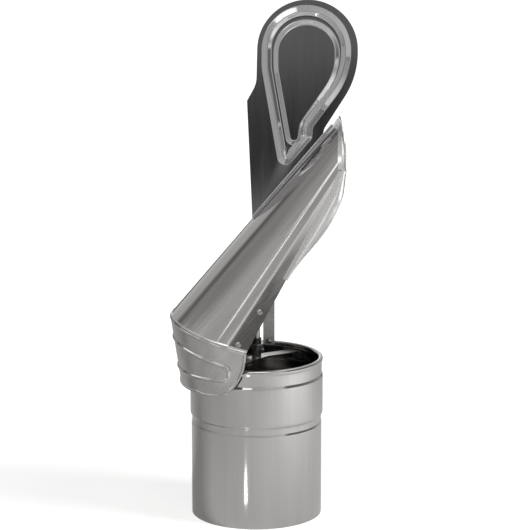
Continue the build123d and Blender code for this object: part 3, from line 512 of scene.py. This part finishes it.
def streaked_metal(name, dark, light, roughness, turn, grain, height, anisotropy):
    """Rolled, drawn or turned metal whose fine lines run one way.

    The grain is the length, in metres along three turned axes, over which the surface changes. It moves the
    colour between two values and the roughness by a fifth each way. The height is how deep the lines are, so
    that reflections break into streaks. Real lines are a few hundredths of a millimetre apart, too fine to
    show, so they are drawn as coarse as the streaks that the eye sees.
    """
    material = bpy.data.materials.new(name)
    tree = empty_tree(material)
    place = add_node(tree, "TexCoord").outputs["Object"]
    lined_up = add_node(
        tree, "Mapping", {"Vector": place, "Rotation": turn, "Scale": grain}, vector_type="TEXTURE"
    )
    lines = add_node(tree, "TexNoise", {"Vector": lined_up, "Scale": 1.0, "Detail": 0.5})
    fine = add_node(tree, "TexNoise", {"Vector": lined_up, "Scale": 5.0, "Detail": 3.0})
    cloud = add_node(tree, "TexNoise", {"Vector": place, "Scale": 11.0, "Detail": 2.0})
    mixed = add_node(tree, "Math", {0: lines, 1: fine}, operation="ADD")
    spread = add_node(tree, "MapRange", {"Value": mixed, "From Min": 0.75, "From Max": 1.25})
    tint = add_node(tree, "Mix", {0: spread, 6: dark, 7: light}, data_type="RGBA").outputs[2]
    worn = add_node(tree, "Math", {0: cloud, 1: spread}, operation="ADD")
    rough = add_node(tree, "MapRange", {
        "Value": worn, "From Min": 0.4, "From Max": 1.6, "To Min": roughness * 0.8, "To Max": roughness * 1.2,
    })
    bump = add_node(tree, "Bump", {"Height": lines, "Distance": height, "Strength": 1.0})
    shader = add_node(tree, "BsdfPrincipled", {
        "Base Color": tint, "Roughness": rough, "Normal": bump, "Metallic": 1.0,
        "Anisotropic": anisotropy, "Anisotropic Rotation": 0.25,
    })
    add_node(tree, "OutputMaterial", {"Surface": shader})
    return material


def finish(name):
    """The material of a name, made on first use."""
    if name in bpy.data.materials:
        return bpy.data.materials[name]
    sheets = bpy.context.scene.cowl_sheets
    spine = (0.0, -bpy.context.scene.cowl_hood.spine_angle, 0.0)
    level = (0.0, 0.0, 0.0)
    # Colours, roughness, turn of the grain, its sizes along three axes and its depth in mm, and anisotropy
    makers = {
        # Stainless sheet rolled into a pipe and polished round: clear reflections with upright bands
        "satin polished stainless sheet": (
            sheets.pipe_dark, sheets.pipe_light, 0.12, level, (17, 17, 500), 0.02, 0.5,
        ),
        # Stainless sheet as rolled and bright annealed: clear reflections, streaked along the rolling
        "bright annealed stainless sheet": (
            sheets.hood_dark, sheets.hood_light, 0.1, spine, (300, 13, 13), 0.022, 0.0,
        ),
        # Rolled edge: its colour is much lighter than the sheet's, a painted sheen for the highlight along
        # the lip
        "burnished stainless edge": (
            sheets.lip_painted_sheen_dark, sheets.lip_painted_sheen_light, 0.26, spine, (200, 12, 12), 0.015, 0.0,
        ),
        # Mirror polished stainless: it shows the dark room before it
        "mirror polished stainless sheet": (
            sheets.fin_dark, sheets.fin_light, 0.07, level, (14, 14, 200), 0.004, 0.0,
        ),
        # Sheared stainless strip, satin along its length
        "sheared stainless strip": (srgb("aaa9a7"), srgb("b6b5b3"), 0.3, level, (25, 1, 1), 0.003, 0.0),
        # Turned bar: fine rings from the tool
        "turned stainless bar": (srgb("a8a8a8"), srgb("b8b8b8"), 0.24, level, (6, 6, 0.5), 0.002, 0.0),
        # Zinc plate: bluish and a little dull
        "zinc plated steel": (srgb("9ea1a3"), srgb("b3b5b4"), 0.34, level, (2, 0.8, 0.8), 0.004, 0.0),
        # Spring steel left black from the oil bath
        "oiled spring steel": (srgb("3a3a3c"), srgb("4a4a4b"), 0.38, level, (2, 0.5, 0.5), 0.003, 0.0),
        # Stainless blind rivets
        "stainless rivet": (srgb("9f9e9c"), srgb("adacaa"), 0.3, level, (1.5, 0.6, 0.6), 0.003, 0.0),
        # Ground and lapped bearing ball
        "polished bearing steel": (srgb("b0b0b2"), srgb("bcbcbe"), 0.06, level, (2, 1, 1), 0.0005, 0.0),
        # Sintered bronze, dark with the oil it holds
        "oil soaked sintered bronze": (srgb("4b4844"), srgb("5c5954"), 0.42, level, (1, 1, 0.3), 0.004, 0.0),
    }
    dark, light, roughness, turn, grain, height, anisotropy = makers[name]
    grain = tuple(size * MM for size in grain)
    return streaked_metal(name, dark, light, roughness, turn, grain, height * MM, anisotropy)


NODE_FINISHES = {
    "sheared stainless strip": ("bridge_strap", "cross_strap", "hanger_post", "lower_bearing_plate"),
    "stainless rivet": ("bridge_rivets", "seam_rivets", "fin_rivets", "cross_strap_rivets", "post_rivets"),
    "turned stainless bar": ("axle_sleeve", "axle_rod", "bearing_cup"),
    "zinc plated steel": ("axle_set_screw", "cup_washer", "cup_nut"),
    "oiled spring steel": ("axle_circlip",),
    "polished bearing steel": ("thrust_ball",),
    "oil soaked sintered bronze": ("lower_bearing_bush",),
}


# Pieces


def pipe_path(sizes):
    """The pipe's wall as a path of (radius, height): spigot, groove, body, neck, flare and inward curl."""
    spigot_radius, spigot_height = SPIGOT["r_mm"] * MM, SPIGOT["length_mm"] * MM
    groove_top = spigot_height + sizes.groove_width
    groove_radius = sizes.body_radius - sizes.groove_depth
    neck_foot = RIM - sizes.neck_height
    curls_above_flare = 1.5
    flare_top = RIM - curls_above_flare * sizes.curl_radius
    corners = [
        (spigot_radius, 0.0),
        (spigot_radius, spigot_height),
        (groove_radius, spigot_height + sizes.step_run),
        (groove_radius, groove_top - sizes.step_run),
        (sizes.body_radius, groove_top),
        (sizes.body_radius, neck_foot - sizes.step_run),
        (sizes.neck_radius, neck_foot),
        (sizes.neck_radius, flare_top - sizes.step_run),
        (sizes.rim_radius, flare_top),
        (sizes.rim_radius, RIM - sizes.curl_radius),
    ]
    straight = rounded_path(corners, [sizes.bend] * len(corners))
    angles = np.linspace(0, sizes.curl_turn, CURL_POINTS)[1:]
    centre = np.array((sizes.rim_radius - sizes.curl_radius, RIM - sizes.curl_radius))
    curl = centre + sizes.curl_radius * np.stack((np.cos(angles), np.sin(angles)), -1)
    return evenly(np.concatenate((straight, curl)), WALL_STEP)


class COWL_OT_pipe(Operator):
    """Flue pipe: its wall's path is given the sheet's thickness and turned about the axle"""

    bl_idname = "cowl.pipe"
    bl_label = "Flue pipe"

    def execute(self, context):
        sheet = context.scene.cowl_hood.sheet
        outer = pipe_path(context.scene.cowl_pipe)
        inner = outer + left_normals(outer) * sheet
        profile = np.concatenate((outer, inner[::-1]))
        angles = np.linspace(0, 2 * math.pi, context.scene.cowl_stage.samples_round, endpoint=False)
        grid = turned(profile, angles)
        faces = quads(*grid.shape[:2], True, True)
        new_piece("flue_pipe_wall", grid, faces, "base", "satin polished stainless sheet",
                  "flue_pipe")
        return {"FINISHED"}


def section_grid(row_count, flat_count, round_count):
    """Rows from 0 to 1 as a column, and a section's girths: flat side, half ellipse and other flat side."""
    flat = np.linspace(0, 1, flat_count)[:-1]
    girths = np.concatenate((flat, 1 + np.linspace(0, 2, round_count), 4 - flat[::-1]))
    return np.linspace(0, 1, row_count)[:, None], girths


class COWL_OT_channel(Operator):
    """Hood channel: the tapering U wall from the mitre to the upright mouth, with the sheet's thickness"""

    bl_idname = "cowl.channel"
    bl_label = "Hood channel"

    def execute(self, context):
        form = HoodForm(context.scene.cowl_hood)
        rows, girths = section_grid(*CHANNEL_POINTS)
        shares = rows * form.mouth_share(girths)
        outer = form.wall(shares, girths[None])
        inner = form.wall(shares, girths[None], -context.scene.cowl_hood.sheet)
        new_sheet("hood_channel_wall", outer, inner, "hood_sheet", "bright annealed stainless sheet",
                  "hood_channel", flip=True)
        return {"FINISHED"}


class COWL_OT_skirt(Operator):
    """Skirt: the mitre's section carried down, with its rib and folded hem, and the seam over the mitre"""

    bl_idname = "cowl.skirt"
    bl_label = "Skirt and seam"

    def execute(self, context):
        sizes = context.scene.cowl_hood
        form = HoodForm(sizes)
        rows, girths = section_grid(*SKIRT_POINTS)
        wall = form.skirt(girths[None], rows * form.skirt_drop(girths)[None])
        normal = grid_normals(wall)
        # The rib's section is a squared cosine
        band = np.clip(form.rib_distance(wall) / (sizes.rib_width / 2), 0.0, 1.0)
        rib = sizes.rib_height * np.cos(band * math.pi / 2) ** 2
        # The hem's is a round with a flattened top, and stands on the outside alone
        across = np.clip(form.hem_distance(wall) / sizes.hem_height, 0.0, 1.0)
        hem = sizes.hem_thickness * (1.0 - np.abs(2.0 * across - 1.0) ** 3) ** 0.5
        outer = wall + normal * np.maximum(rib, hem)[..., None]
        inner = wall + normal * (rib - sizes.sheet)[..., None]
        new_sheet("skirt_wall", outer, inner, "hood_sheet", "bright annealed stainless sheet", "hood_skirt")
        self.seam(form, sizes)
        return {"FINISHED"}

    def seam(self, form, sizes):
        """Folded seam carried round the mitre's outline.

        Across its width its height is a flat-topped ground, 1 - reach^8, and two soft ridges, a squared sine.
        """
        proud, sunk = 0.1 * MM, 0.3 * MM
        ground, ridges = 0.3, 0.7
        rows, girths = section_grid(*SEAM_POINTS)
        reach = 2 * rows[:, 0] - 1
        rise = ground * (1 - np.abs(reach) ** 8) + ridges * np.sin(math.pi * reach) ** 2
        up = np.maximum(reach, 0.0) * sizes.seam_width / (sizes.spine_length * form.slant)
        down = np.maximum(-reach, 0.0) * sizes.seam_width / math.cos(sizes.skirt_lean)
        base = form.wall(up[None], girths[:, None]) + form.down * down[None, :, None]
        normal = form.wall_normal(0.0, girths)[:, None]
        outer = base + normal * (sizes.seam_height * rise + proud)[None, :, None]
        inner = base - normal * sunk
        new_sheet("mitre_seam", outer, inner, "hood_sheet", "bright annealed stainless sheet", "hood_skirt")


def through_stations(stations, steps):
    """Smooth curve through rows of numbers: a Catmull-Rom cubic of so many steps between each two rows."""
    padded = np.concatenate((2 * stations[:1] - stations[1:2], stations, 2 * stations[-1:] - stations[-2:-1]))
    place = np.linspace(0, len(stations) - 1, steps * (len(stations) - 1) + 1)
    index = np.minimum(place.astype(int), len(stations) - 2)
    t = (place - index)[:, None]
    a, b, c, d = (padded[index + shift] for shift in range(4))
    return 0.5 * (2 * b + (c - a) * t + (2 * a - 5 * b + 4 * c - d) * t**2 + (3 * b - a - 3 * c + d) * t**3)


# The lip's stations: up the channel's lower edge, then round the mouth from the girth of its rounded corner
EDGE_STATIONS = 8
MOUTH_STATIONS = 13
CORNER_GIRTH = 0.6
STATION_STEPS = 10
# Points across its flat lap
LAP_POINTS = 4
# Its folded edge: how much the fold adds, and the shares of the flare at which it starts and is full
FOLD_HEIGHT = 0.35 * MM
FOLD_START, FOLD_RUN = 0.72, 0.12


class COWL_OT_lip(Operator):
    """Lip: a flat lap and a flared arc carried round the mouth, its edge folded over"""

    bl_idname = "cowl.lip"
    bl_label = "Mouth lip"

    def stations(self, form, sizes):
        """Places of the lip's sections on the wall, from the lower end at +Y up to the crown."""
        corner = float(form.mouth_share(0.0))
        start = sizes.lip_start / form.edge_length
        edge = np.linspace(start, corner, EDGE_STATIONS, endpoint=False)
        girths = np.linspace(CORNER_GIRTH, 2.0, MOUTH_STATIONS)
        lower = np.stack((edge, np.zeros_like(edge)), -1)
        return np.concatenate((lower, np.stack((form.mouth_share(girths), girths), -1)))

    def execute(self, context):
        sizes = context.scene.cowl_hood
        form = HoodForm(sizes)
        places = self.stations(form, sizes)
        points = form.wall(places[:, 0], places[:, 1])
        normals = form.wall_normal(places[:, 0], np.clip(places[:, 1], 1e-3, None))
        run = np.gradient(points, axis=0)
        run[-1] = (0.0, -1.0, 0.0)
        outs = unit(np.cross(normals, run))
        # The near half's rows of place, outward way and normal, and then the same with y turned over
        near = np.concatenate((points + normals * sizes.lip_seat, outs, normals), 1)
        flip = np.array((1, -1, 1) * 3)
        rows = through_stations(np.concatenate((near, near[-2::-1] * flip)), STATION_STEPS)
        root, out, normal = rows[:, None, 0:3], unit(rows[:, 3:6])[:, None], unit(rows[:, 6:9])[:, None]
        arc = np.linspace(0, sizes.lip_flare, LIP_ARC_POINTS)
        radius = (form.lip_width(rows[:, 2]) / math.sin(sizes.lip_flare))[:, None]
        fold = FOLD_HEIGHT * smooth_step((arc / sizes.lip_flare - FOLD_START) / FOLD_RUN)
        lap = np.linspace(-sizes.lip_lap, 0, LAP_POINTS)[:-1] * np.ones_like(radius)
        sides = []
        for level, bow in ((sizes.sheet, radius - sizes.sheet), (0.0, radius + fold)):
            across = np.concatenate((lap, bow * np.sin(arc)), 1)
            up = np.concatenate((np.full_like(lap, level), radius - bow * np.cos(arc)), 1)
            sides.append(root + out * across[..., None] + normal * up[..., None])
        # The lip's finish is lighter than the hood's: a painted sheen for the highlight along it
        new_sheet("lip_strip", *sides, "hood_sheet", "burnished stainless edge", "mouth_lip")
        return {"FINISHED"}


# Plans of the fin's plate, ridge and panel in mm: how far the middle of the round head lies from the plate's,
# and from there the corners as x, z and radius, from the head's left end down and round to its right end. The
# plate also has its heel and toe, on the channel's crown between its first two corners and its last two.
PLATE_PLAN = (0.0, 0.0), ((-57.1, -38.0, 30.0), (-67.6, -57.0, 1.5), (19.4, -88.0, 12.0), (56.2, -30.0, 92.0))
RIDGE_PLAN = (-1.35, -0.2), (
    (-49.85, -20.0, 60.0), (-28.8, -140.3, 9.0), (6.75, -98.9, 4.0), (7.75, -85.8, 10.0),
    (49.85, -29.8, 85.0),
)
PANEL_PLAN = (-1.0, -3.1), (
    (-37.7, -18.0, 60.0), (-22.6, -104.6, 9.4), (-4.6, -104.6, 9.4), (-1.6, -81.9, 10.0),
    (37.7, -23.9, 72.0),
)
RIDGE_RADIUS, PANEL_RADIUS = 49.85 * MM, 37.7 * MM
HEAD_POINTS = 180
OUTLINE_STEP = 1.0 * MM
# Point inside the plate, the ridge and the panel, about which the rings of the fin's mesh lie
RING_CENTRE = np.array((0.045, 0.47))
# Least angle between neighbouring points of a ring, and least space between rings
RING_ANGLE = 2e-4
RING_SPACE = 0.03 * MM
# How far the ring inside the edge lies from it, and numbers of rings over the ridge and up the panel's flank
EDGE_INSET = 0.4 * MM
RIDGE_RINGS, PANEL_RINGS = 25, 15
# How far the round of a pressed corner reaches to each side
ROUND_REACH = 0.7 * MM


def fin_outlines(sizes, form):
    """Closed outlines of plate, ridge and panel in the side view: a half round over rounded corners."""
    centre = np.array((sizes.centre_x, RIM + sizes.centre_rise))
    crown = [((form.corner + form.spine * along)[[0, 2]], 0.0) for along in (sizes.heel, sizes.toe)]
    arc = np.linspace(0, math.pi, HEAD_POINTS)
    plans = (sizes.radius, PLATE_PLAN), (RIDGE_RADIUS, RIDGE_PLAN), (PANEL_RADIUS, PANEL_PLAN)
    outlines = []
    for radius, (shift, places) in plans:
        middle = centre + np.array(shift) * MM
        head = middle + radius * np.stack((np.cos(arc), np.sin(arc)), -1)
        corners = [(middle + np.array(place[:2]) * MM, place[2] * MM) for place in places]
        if places is PLATE_PLAN[1]:
            corners[2:2] = crown
        points, radii = zip((head[-1], 0.0), *corners, (head[0], 0.0))
        body = rounded_path(points, radii)
        outlines.append(evenly(np.concatenate((head, body[1:-1])), OUTLINE_STEP, closed=True))
    return outlines


def pressed_height(place, knots):
    """Height of the pressed sheet at a place across its flanks.

    The knots are (place, height) points joined by straight lines. A running mean with a Hanning window that
    reaches ROUND_REACH to each side rounds the corners.
    """
    places, heights = np.transpose(knots)
    beyond, samples = 2 * MM, 500
    across = np.linspace(places[0] - beyond, places[-1] + beyond, samples)
    reach = int(ROUND_REACH / (across[1] - across[0]))
    window = np.hanning(2 * reach + 3)[1:-1]
    soft = np.convolve(np.interp(across, places, heights), window / window.sum(), "valid")
    return np.interp(place, across[reach:-reach], soft)


def closed_inset(outline, distance):
    """A closed outline moved inwards by a distance along its normals, for one that runs anticlockwise."""
    run = unit(np.roll(outline, -1, 0) - np.roll(outline, 1, 0))
    return outline + np.stack((-run[:, 1], run[:, 0]), -1) * distance


def polar_radii(outline, centre, angles):
    """Distance of a closed outline from a centre inside it, at each angle."""
    away = outline - centre
    turn = np.unwrap(np.arctan2(away[:, 1], away[:, 0]))
    order = np.argsort(turn)
    return np.interp(angles, turn[order], np.linalg.norm(away, axis=1)[order], period=2 * math.pi)


class COWL_OT_fin(Operator):
    """Wind fin: rings follow its outline, its pressed ridge and groove, and the flank of its raised panel"""

    bl_idname = "cowl.fin"
    bl_label = "Wind fin"

    def execute(self, context):
        sizes = context.scene.cowl_fin
        plate, ridge, panel = fin_outlines(sizes, HoodForm(context.scene.cowl_hood))
        # Every point of the plate's outline and each second one of the ridge's gets its angle
        away = np.concatenate((plate, ridge[::2])) - RING_CENTRE
        angles = np.sort(np.mod(np.arctan2(away[:, 1], away[:, 0]), 2 * math.pi))
        angles = angles[np.concatenate(((True,), np.diff(angles) > RING_ANGLE))]
        rings = [(closed_inset(plate, inset), 0.0) for inset in (0.0, EDGE_INSET)]
        groove = sizes.ridge_rise + sizes.ridge_fall
        ridge_knots = (0.0, 0.0), (sizes.ridge_rise, sizes.ridge_height), (groove, -sizes.groove_depth)
        panel_knots = (0.0, -sizes.groove_depth), (sizes.panel_rise, sizes.panel_height)
        for outline, inset, knots, count in (
            (ridge, 0.0, ridge_knots, RIDGE_RINGS),
            (panel, sizes.panel_inset, panel_knots, PANEL_RINGS),
        ):
            for place in np.linspace(-ROUND_REACH, knots[-1][0] + ROUND_REACH, count):
                rings.append((closed_inset(outline, inset + place), pressed_height(place, knots)))
        # Each ring lies inside the one before it at every angle
        spaces = RING_SPACE * np.arange(len(rings))[:, None]
        radii = np.array([polar_radii(ring, RING_CENTRE, angles) for ring, height in rings])
        radii = np.minimum.accumulate(radii + spaces) - spaces
        lift = np.array([height for ring, height in rings])[:, None] * np.ones_like(radii)
        x = RING_CENTRE[0] + radii * np.cos(angles)
        z = RING_CENTRE[1] + radii * np.sin(angles)
        front = np.stack((x, -sizes.sheet / 2 - lift, z), -1)
        back = np.stack((x, sizes.sheet / 2 - lift, z), -1)
        grid = np.concatenate((front[::-1], back))
        rows, columns = grid.shape[:2]
        faces = list(quads(rows, columns, False, True))
        faces += [list(range(columns))[::-1], list(range((rows - 1) * columns, rows * columns))]
        new_piece("fin_plate", grid, faces, "hood", "mirror polished stainless sheet",
                  "wind_fin", sharp=40.0)
        self.foot(context, sizes)
        return {"FINISHED"}

    def foot(self, context, sizes):
        """Foot of the fin: from a small bend at the plate, the strip follows the crown out to its width.

        The bend is a quarter arc. The strip's points lie y = half_width * cos a beside the crown, which gives
        their girth on the wall.
        """
        hood = context.scene.cowl_hood
        form = HoodForm(hood)
        seat, bend = 0.05 * MM, 2.0 * MM
        row_count, flat_count, bend_count = FOOT_POINTS
        tip = float(form.mouth_share(2.0)) * hood.spine_length - hood.lip_lap - sizes.foot_gap
        along = np.linspace(sizes.foot_start, tip, row_count)
        share = (along / hood.spine_length)[:, None]
        widening = (along - along[0]) / (tip - along[0])
        width = sizes.foot_width + (sizes.foot_tip_width - sizes.foot_width) * widening
        start = sizes.sheet / 2 + bend
        sideways = start + (width - start)[:, None] * np.linspace(0, 1, flat_count)
        girth = 3 - np.arccos(sideways / form.half_width(share)) / (math.pi / 2)
        wall, normal = form.wall(share, girth), form.wall_normal(share, girth)
        turn = np.linspace(0, math.pi / 2, bend_count)[:-1, None]
        middle = wall[:, :1] + normal[:, :1] * (seat + sizes.sheet + bend)
        bow = np.cos(turn) * SIDEWAYS - np.sin(turn) * normal[:, :1]
        sides = []
        for out, radius in ((seat + sizes.sheet, bend), (seat, bend + sizes.sheet)):
            sides.append(np.concatenate((middle + radius * bow, wall + normal * out), 1))
        new_sheet("fin_foot", *sides, "fin_sheet", "mirror polished stainless sheet", "wind_fin", flip=True)


class COWL_OT_frame_finishes(Operator):
    """Finishes of the bearing frame and the fasteners"""

    bl_idname = "cowl.frame_finishes"
    bl_label = "Frame finishes"

    def execute(self, context):
        for name, nodes in NODE_FINISHES.items():
            for node in nodes:
                slots = frame["nodes"][node].data.materials
                slots.clear()
                slots.append(finish(name))
        return {"FINISHED"}


# Stage

# Levels round the room by the share of a turn: from the left through the front at 0.25 and the right at 0.5
ROOM_LEVELS = (
    (0.0, 0.38), (0.05, 0.46), (0.085, 0.53), (0.24, 0.52), (0.3, 0.62), (0.385, 0.78), (0.41, 0.17),
    (0.5, 0.2), (0.74, 0.6), (0.75, 1.2), (0.772, 1.2), (0.787, 0.6), (0.87, 0.54), (0.885, 0.17),
    (0.9, 0.17), (0.915, 0.33), (0.96, 0.35),
)
# Levels past the floor's front edge, upwards by the sine of the height, from -FRONT_SINE to FRONT_SINE
FRONT_SINE = 0.25
FRONT_LEVELS = (
    (0.0, 0.28), (0.125, 0.24), (0.15, 0.03), (0.19, 0.035), (0.23, 0.08), (0.265, 0.17), (0.5, 0.13),
    (0.53, 0.16), (0.575, 1.35), (0.6, 1.35), (0.65, 0.55), (0.9, 0.55),
)
CEILING_LEVEL = 0.75
# Level of the room for all that isn't seen by the camera or mirrored, which is how it lights the floor
AMBIENT_LEVEL = 0.15
# Lamps: name, place, aim, size, power, and whether polished metal shows them. Those that it doesn't show
# light the floor, which the metal mirrors: the key its right, the next its front at the left, the last its
# wing. The strip that lies on the table is the bright streak low on the pipe.
LAMPS = (
    ("key_softbox", (1.0, -0.4, 0.8), (0, 0, 0.1), (0.5, 0.5), 11.0, False),
    ("table_softbox", (-0.45, -1.0, 0.45), (-0.45, -1.0, 0), (0.35, 0.25), 0.9, False),
    ("window", (-0.86, -2.24, 1.74), (0, 0, 0.5), (1.05, 0.66), 2.6, True),
    ("window_strip", (-0.98, -2.19, 1.2), (0, 0, 0.3), (0.1, 0.7), 0.35, True),
    ("front_softbox", (-0.22, -1.15, 2.95), (0, 0, 0.25), (1.9, 1.2), 13.0, True),
    ("wing_softbox", (2.3, -1.0, 0.9), (1.9, -1.1, 0), (0.8, 0.8), 10.0, False),
    ("left_card", (-2.0, -0.15, 0.97), (0, 0, 0.36), (1.85, 0.6), 4.0, True),
    ("top_softbox", (0.3, 0.9, 2.7), (0, 0, 0.2), (1.6, 1.2), 4.0, True),
    ("table_strip", (-0.065, -0.229, 0.0015), (-0.0655, -0.2304, -1.0), (0.012, 0.13), 0.025, True),
)


def white_board(name, tint, lift):
    """Matt white board. A glow for the camera alone, stronger away from the cowl, takes it to plain white."""
    material = bpy.data.materials.new(name)
    tree = empty_tree(material)
    seen = add_node(tree, "LightPath").outputs["Is Camera Ray"]
    place = add_node(tree, "TexCoord").outputs["Object"]
    away = add_node(tree, "VectorMath", {0: place}, operation="LENGTH").outputs["Value"]
    white = add_node(tree, "MapRange", {
        "Value": away, "From Min": 0.25, "From Max": 1.2, "To Min": lift, "To Max": 1.0,
    })
    glow = add_node(tree, "Math", {0: seen, 1: white}, operation="MULTIPLY")
    shader = add_node(tree, "BsdfPrincipled", {
        "Base Color": tint, "Roughness": 0.9, "Specular IOR Level": 0.1,
        "Emission Color": (1.0, 1.0, 1.0, 1.0), "Emission Strength": glow,
    })
    add_node(tree, "OutputMaterial", {"Surface": shader})
    return material


def area_light(name, place, aim, size, power, mirrored):
    """Soft box: a rectangle that shines from a place towards a point. Polished metal shows it or doesn't."""
    light = bpy.data.lights.new(name, "AREA")
    light.shape = "RECTANGLE"
    light.size, light.size_y = size
    light.energy = power
    lamp = new_object(name, light)
    lamp.visible_camera = False
    lamp.visible_glossy = mirrored
    lamp.location = place
    away = np.asarray(place) - np.asarray(aim)
    yaw = math.atan2(away[0], -away[1])
    tilt = math.atan2(math.hypot(away[0], away[1]), away[2])
    lamp.rotation_euler = (tilt, 0.0, yaw)


class COWL_OT_stage(Operator):
    """Stage: floor, lights, white room and the camera at the photograph's view"""

    bl_idname = "cowl.stage"
    bl_label = "Stage"

    def execute(self, context):
        scene = context.scene
        sizes = scene.cowl_stage
        scene.view_settings.view_transform = "Standard"
        half = sizes.floor_size / 2
        front = -sizes.floor_front
        wing, reach = sizes.wing_start, -sizes.wing_front
        corners = np.array((
            (-half, front, 0), (half, front, 0), (half, half, 0), (-half, half, 0),
            (wing, reach, 0), (half, reach, 0), (half, front, 0), (wing, front, 0),
        ))
        mesh = bpy.data.meshes.new("floor")
        mesh.from_pydata(corners.tolist(), [], [(0, 1, 2, 3), (4, 5, 6, 7)])
        mesh.materials.append(white_board("matt white board", sizes.floor_colour, 0.6))
        floor = new_object("floor", mesh)
        self.world(scene)
        for lamp in LAMPS:
            area_light(*lamp)
        self.camera(scene, sizes)
        return {"FINISHED"}

    def world(self, scene):
        """White room, with the darker places that polished steel shows as its dark lines and bands.

        The camera sees plain white. Mirrors see a level by where they look: round the room by compass angle,
        and past the front edge of the white floor by height, where the room is dark under a bright line.
        """
        world = bpy.data.worlds.new("studio")
        tree = empty_tree(world)
        way = add_node(tree, "TexCoord").outputs["Generated"]
        axes = add_node(tree, "SeparateXYZ", {0: way}).outputs
        compass = add_node(tree, "Math", {0: axes["Y"], 1: axes["X"]}, operation="ARCTAN2")
        turn = add_node(tree, "MapRange", {"Value": compass, "From Min": -math.pi, "From Max": math.pi})
        around = add_node(tree, "ValToRGB", {"Fac": turn}, stops=ROOM_LEVELS)
        upwards = {"Value": axes["Z"], "From Min": -FRONT_SINE, "From Max": FRONT_SINE}
        rise = add_node(tree, "MapRange", upwards)
        low = add_node(tree, "ValToRGB", {"Fac": rise}, stops=FRONT_LEVELS)
        # The front levels hold where the way's y is under -0.965 and its z under 0.07, and fade out beyond
        facing = add_node(tree, "MapRange", {"Value": axes["Y"], "From Min": -0.92, "From Max": -0.965})
        below = add_node(tree, "MapRange", {"Value": axes["Z"], "From Min": 0.11, "From Max": 0.07})
        share = add_node(tree, "Math", {0: facing, 1: below}, operation="MULTIPLY")
        walls = add_node(tree, "Mix", {0: share, 2: around, 3: low})
        high = add_node(tree, "MapRange", {"Value": axes["Z"], "From Min": 0.62, "From Max": 0.8})
        room = add_node(tree, "Mix", {0: high, 2: walls, 3: CEILING_LEVEL})
        ray = add_node(tree, "LightPath").outputs
        mirrors = {0: ray["Is Glossy Ray"], 1: ray["Is Transmission Ray"]}
        mirrored = add_node(tree, "Math", mirrors, operation="MAXIMUM")
        lit = add_node(tree, "Mix", {0: mirrored, 2: AMBIENT_LEVEL, 3: room})
        level = add_node(tree, "Mix", {0: ray["Is Camera Ray"], 2: lit, 3: 1.0})
        shine = add_node(tree, "Background", {"Color": (1.0, 1.0, 1.0, 1.0), "Strength": level})
        add_node(tree, "OutputWorld", {"Surface": shine})
        scene.world = world

    def camera(self, scene, sizes):
        """Camera whose lens gives the photograph's focal length in picture pixels."""
        data = bpy.data.cameras.new("camera")
        data.sensor_width = 36.0
        data.lens = sizes.focal_pixels * data.sensor_width / PICTURE_PIXELS
        data.clip_start, data.clip_end = 0.05, 100.0
        camera = new_object("camera", data)
        camera.location = (sizes.camera_x, sizes.camera_y, sizes.camera_z)
        camera.rotation_euler = (math.pi / 2 - sizes.camera_pitch, 0.0, 0.0)
        scene.camera = camera


class COWL_PT_panel(Panel):
    """Lists the cowl's operators, sizes and colours"""

    bl_label = "Chimney cowl"
    bl_idname = "COWL_PT_panel"
    bl_space_type = "VIEW_3D"
    bl_region_type = "UI"
    bl_category = "Cowl"

    def draw(self, context):
        for operator in OPERATORS:
            self.layout.operator(operator.bl_idname)
        for key in GROUPS:
            group = getattr(context.scene, key)
            column = self.layout.column()
            for name in group.__annotations__:
                column.prop(group, name)


GROUPS = {
    "cowl_pipe": PipeSizes,
    "cowl_hood": HoodSizes,
    "cowl_fin": FinSizes,
    "cowl_sheets": SheetColours,
    "cowl_stage": StageSizes,
}
OPERATORS = (
    COWL_OT_stage,
    COWL_OT_pipe,
    COWL_OT_channel,
    COWL_OT_skirt,
    COWL_OT_lip,
    COWL_OT_fin,
    COWL_OT_frame_finishes,
)


def register():
    for cls in (*GROUPS.values(), *OPERATORS, COWL_PT_panel):
        bpy.utils.register_class(cls)
    for name, group in GROUPS.items():
        setattr(bpy.types.Scene, name, PointerProperty(type=group))


def unregister():
    for name in GROUPS:
        delattr(bpy.types.Scene, name)
    for cls in (COWL_PT_panel, *reversed(OPERATORS), *reversed(tuple(GROUPS.values()))):
        bpy.utils.unregister_class(cls)


def main():
    register()
    for operator in OPERATORS:
        group, name = operator.bl_idname.split(".")
        getattr(getattr(bpy.ops, group), name)()


if __name__ == "__main__":
    main()
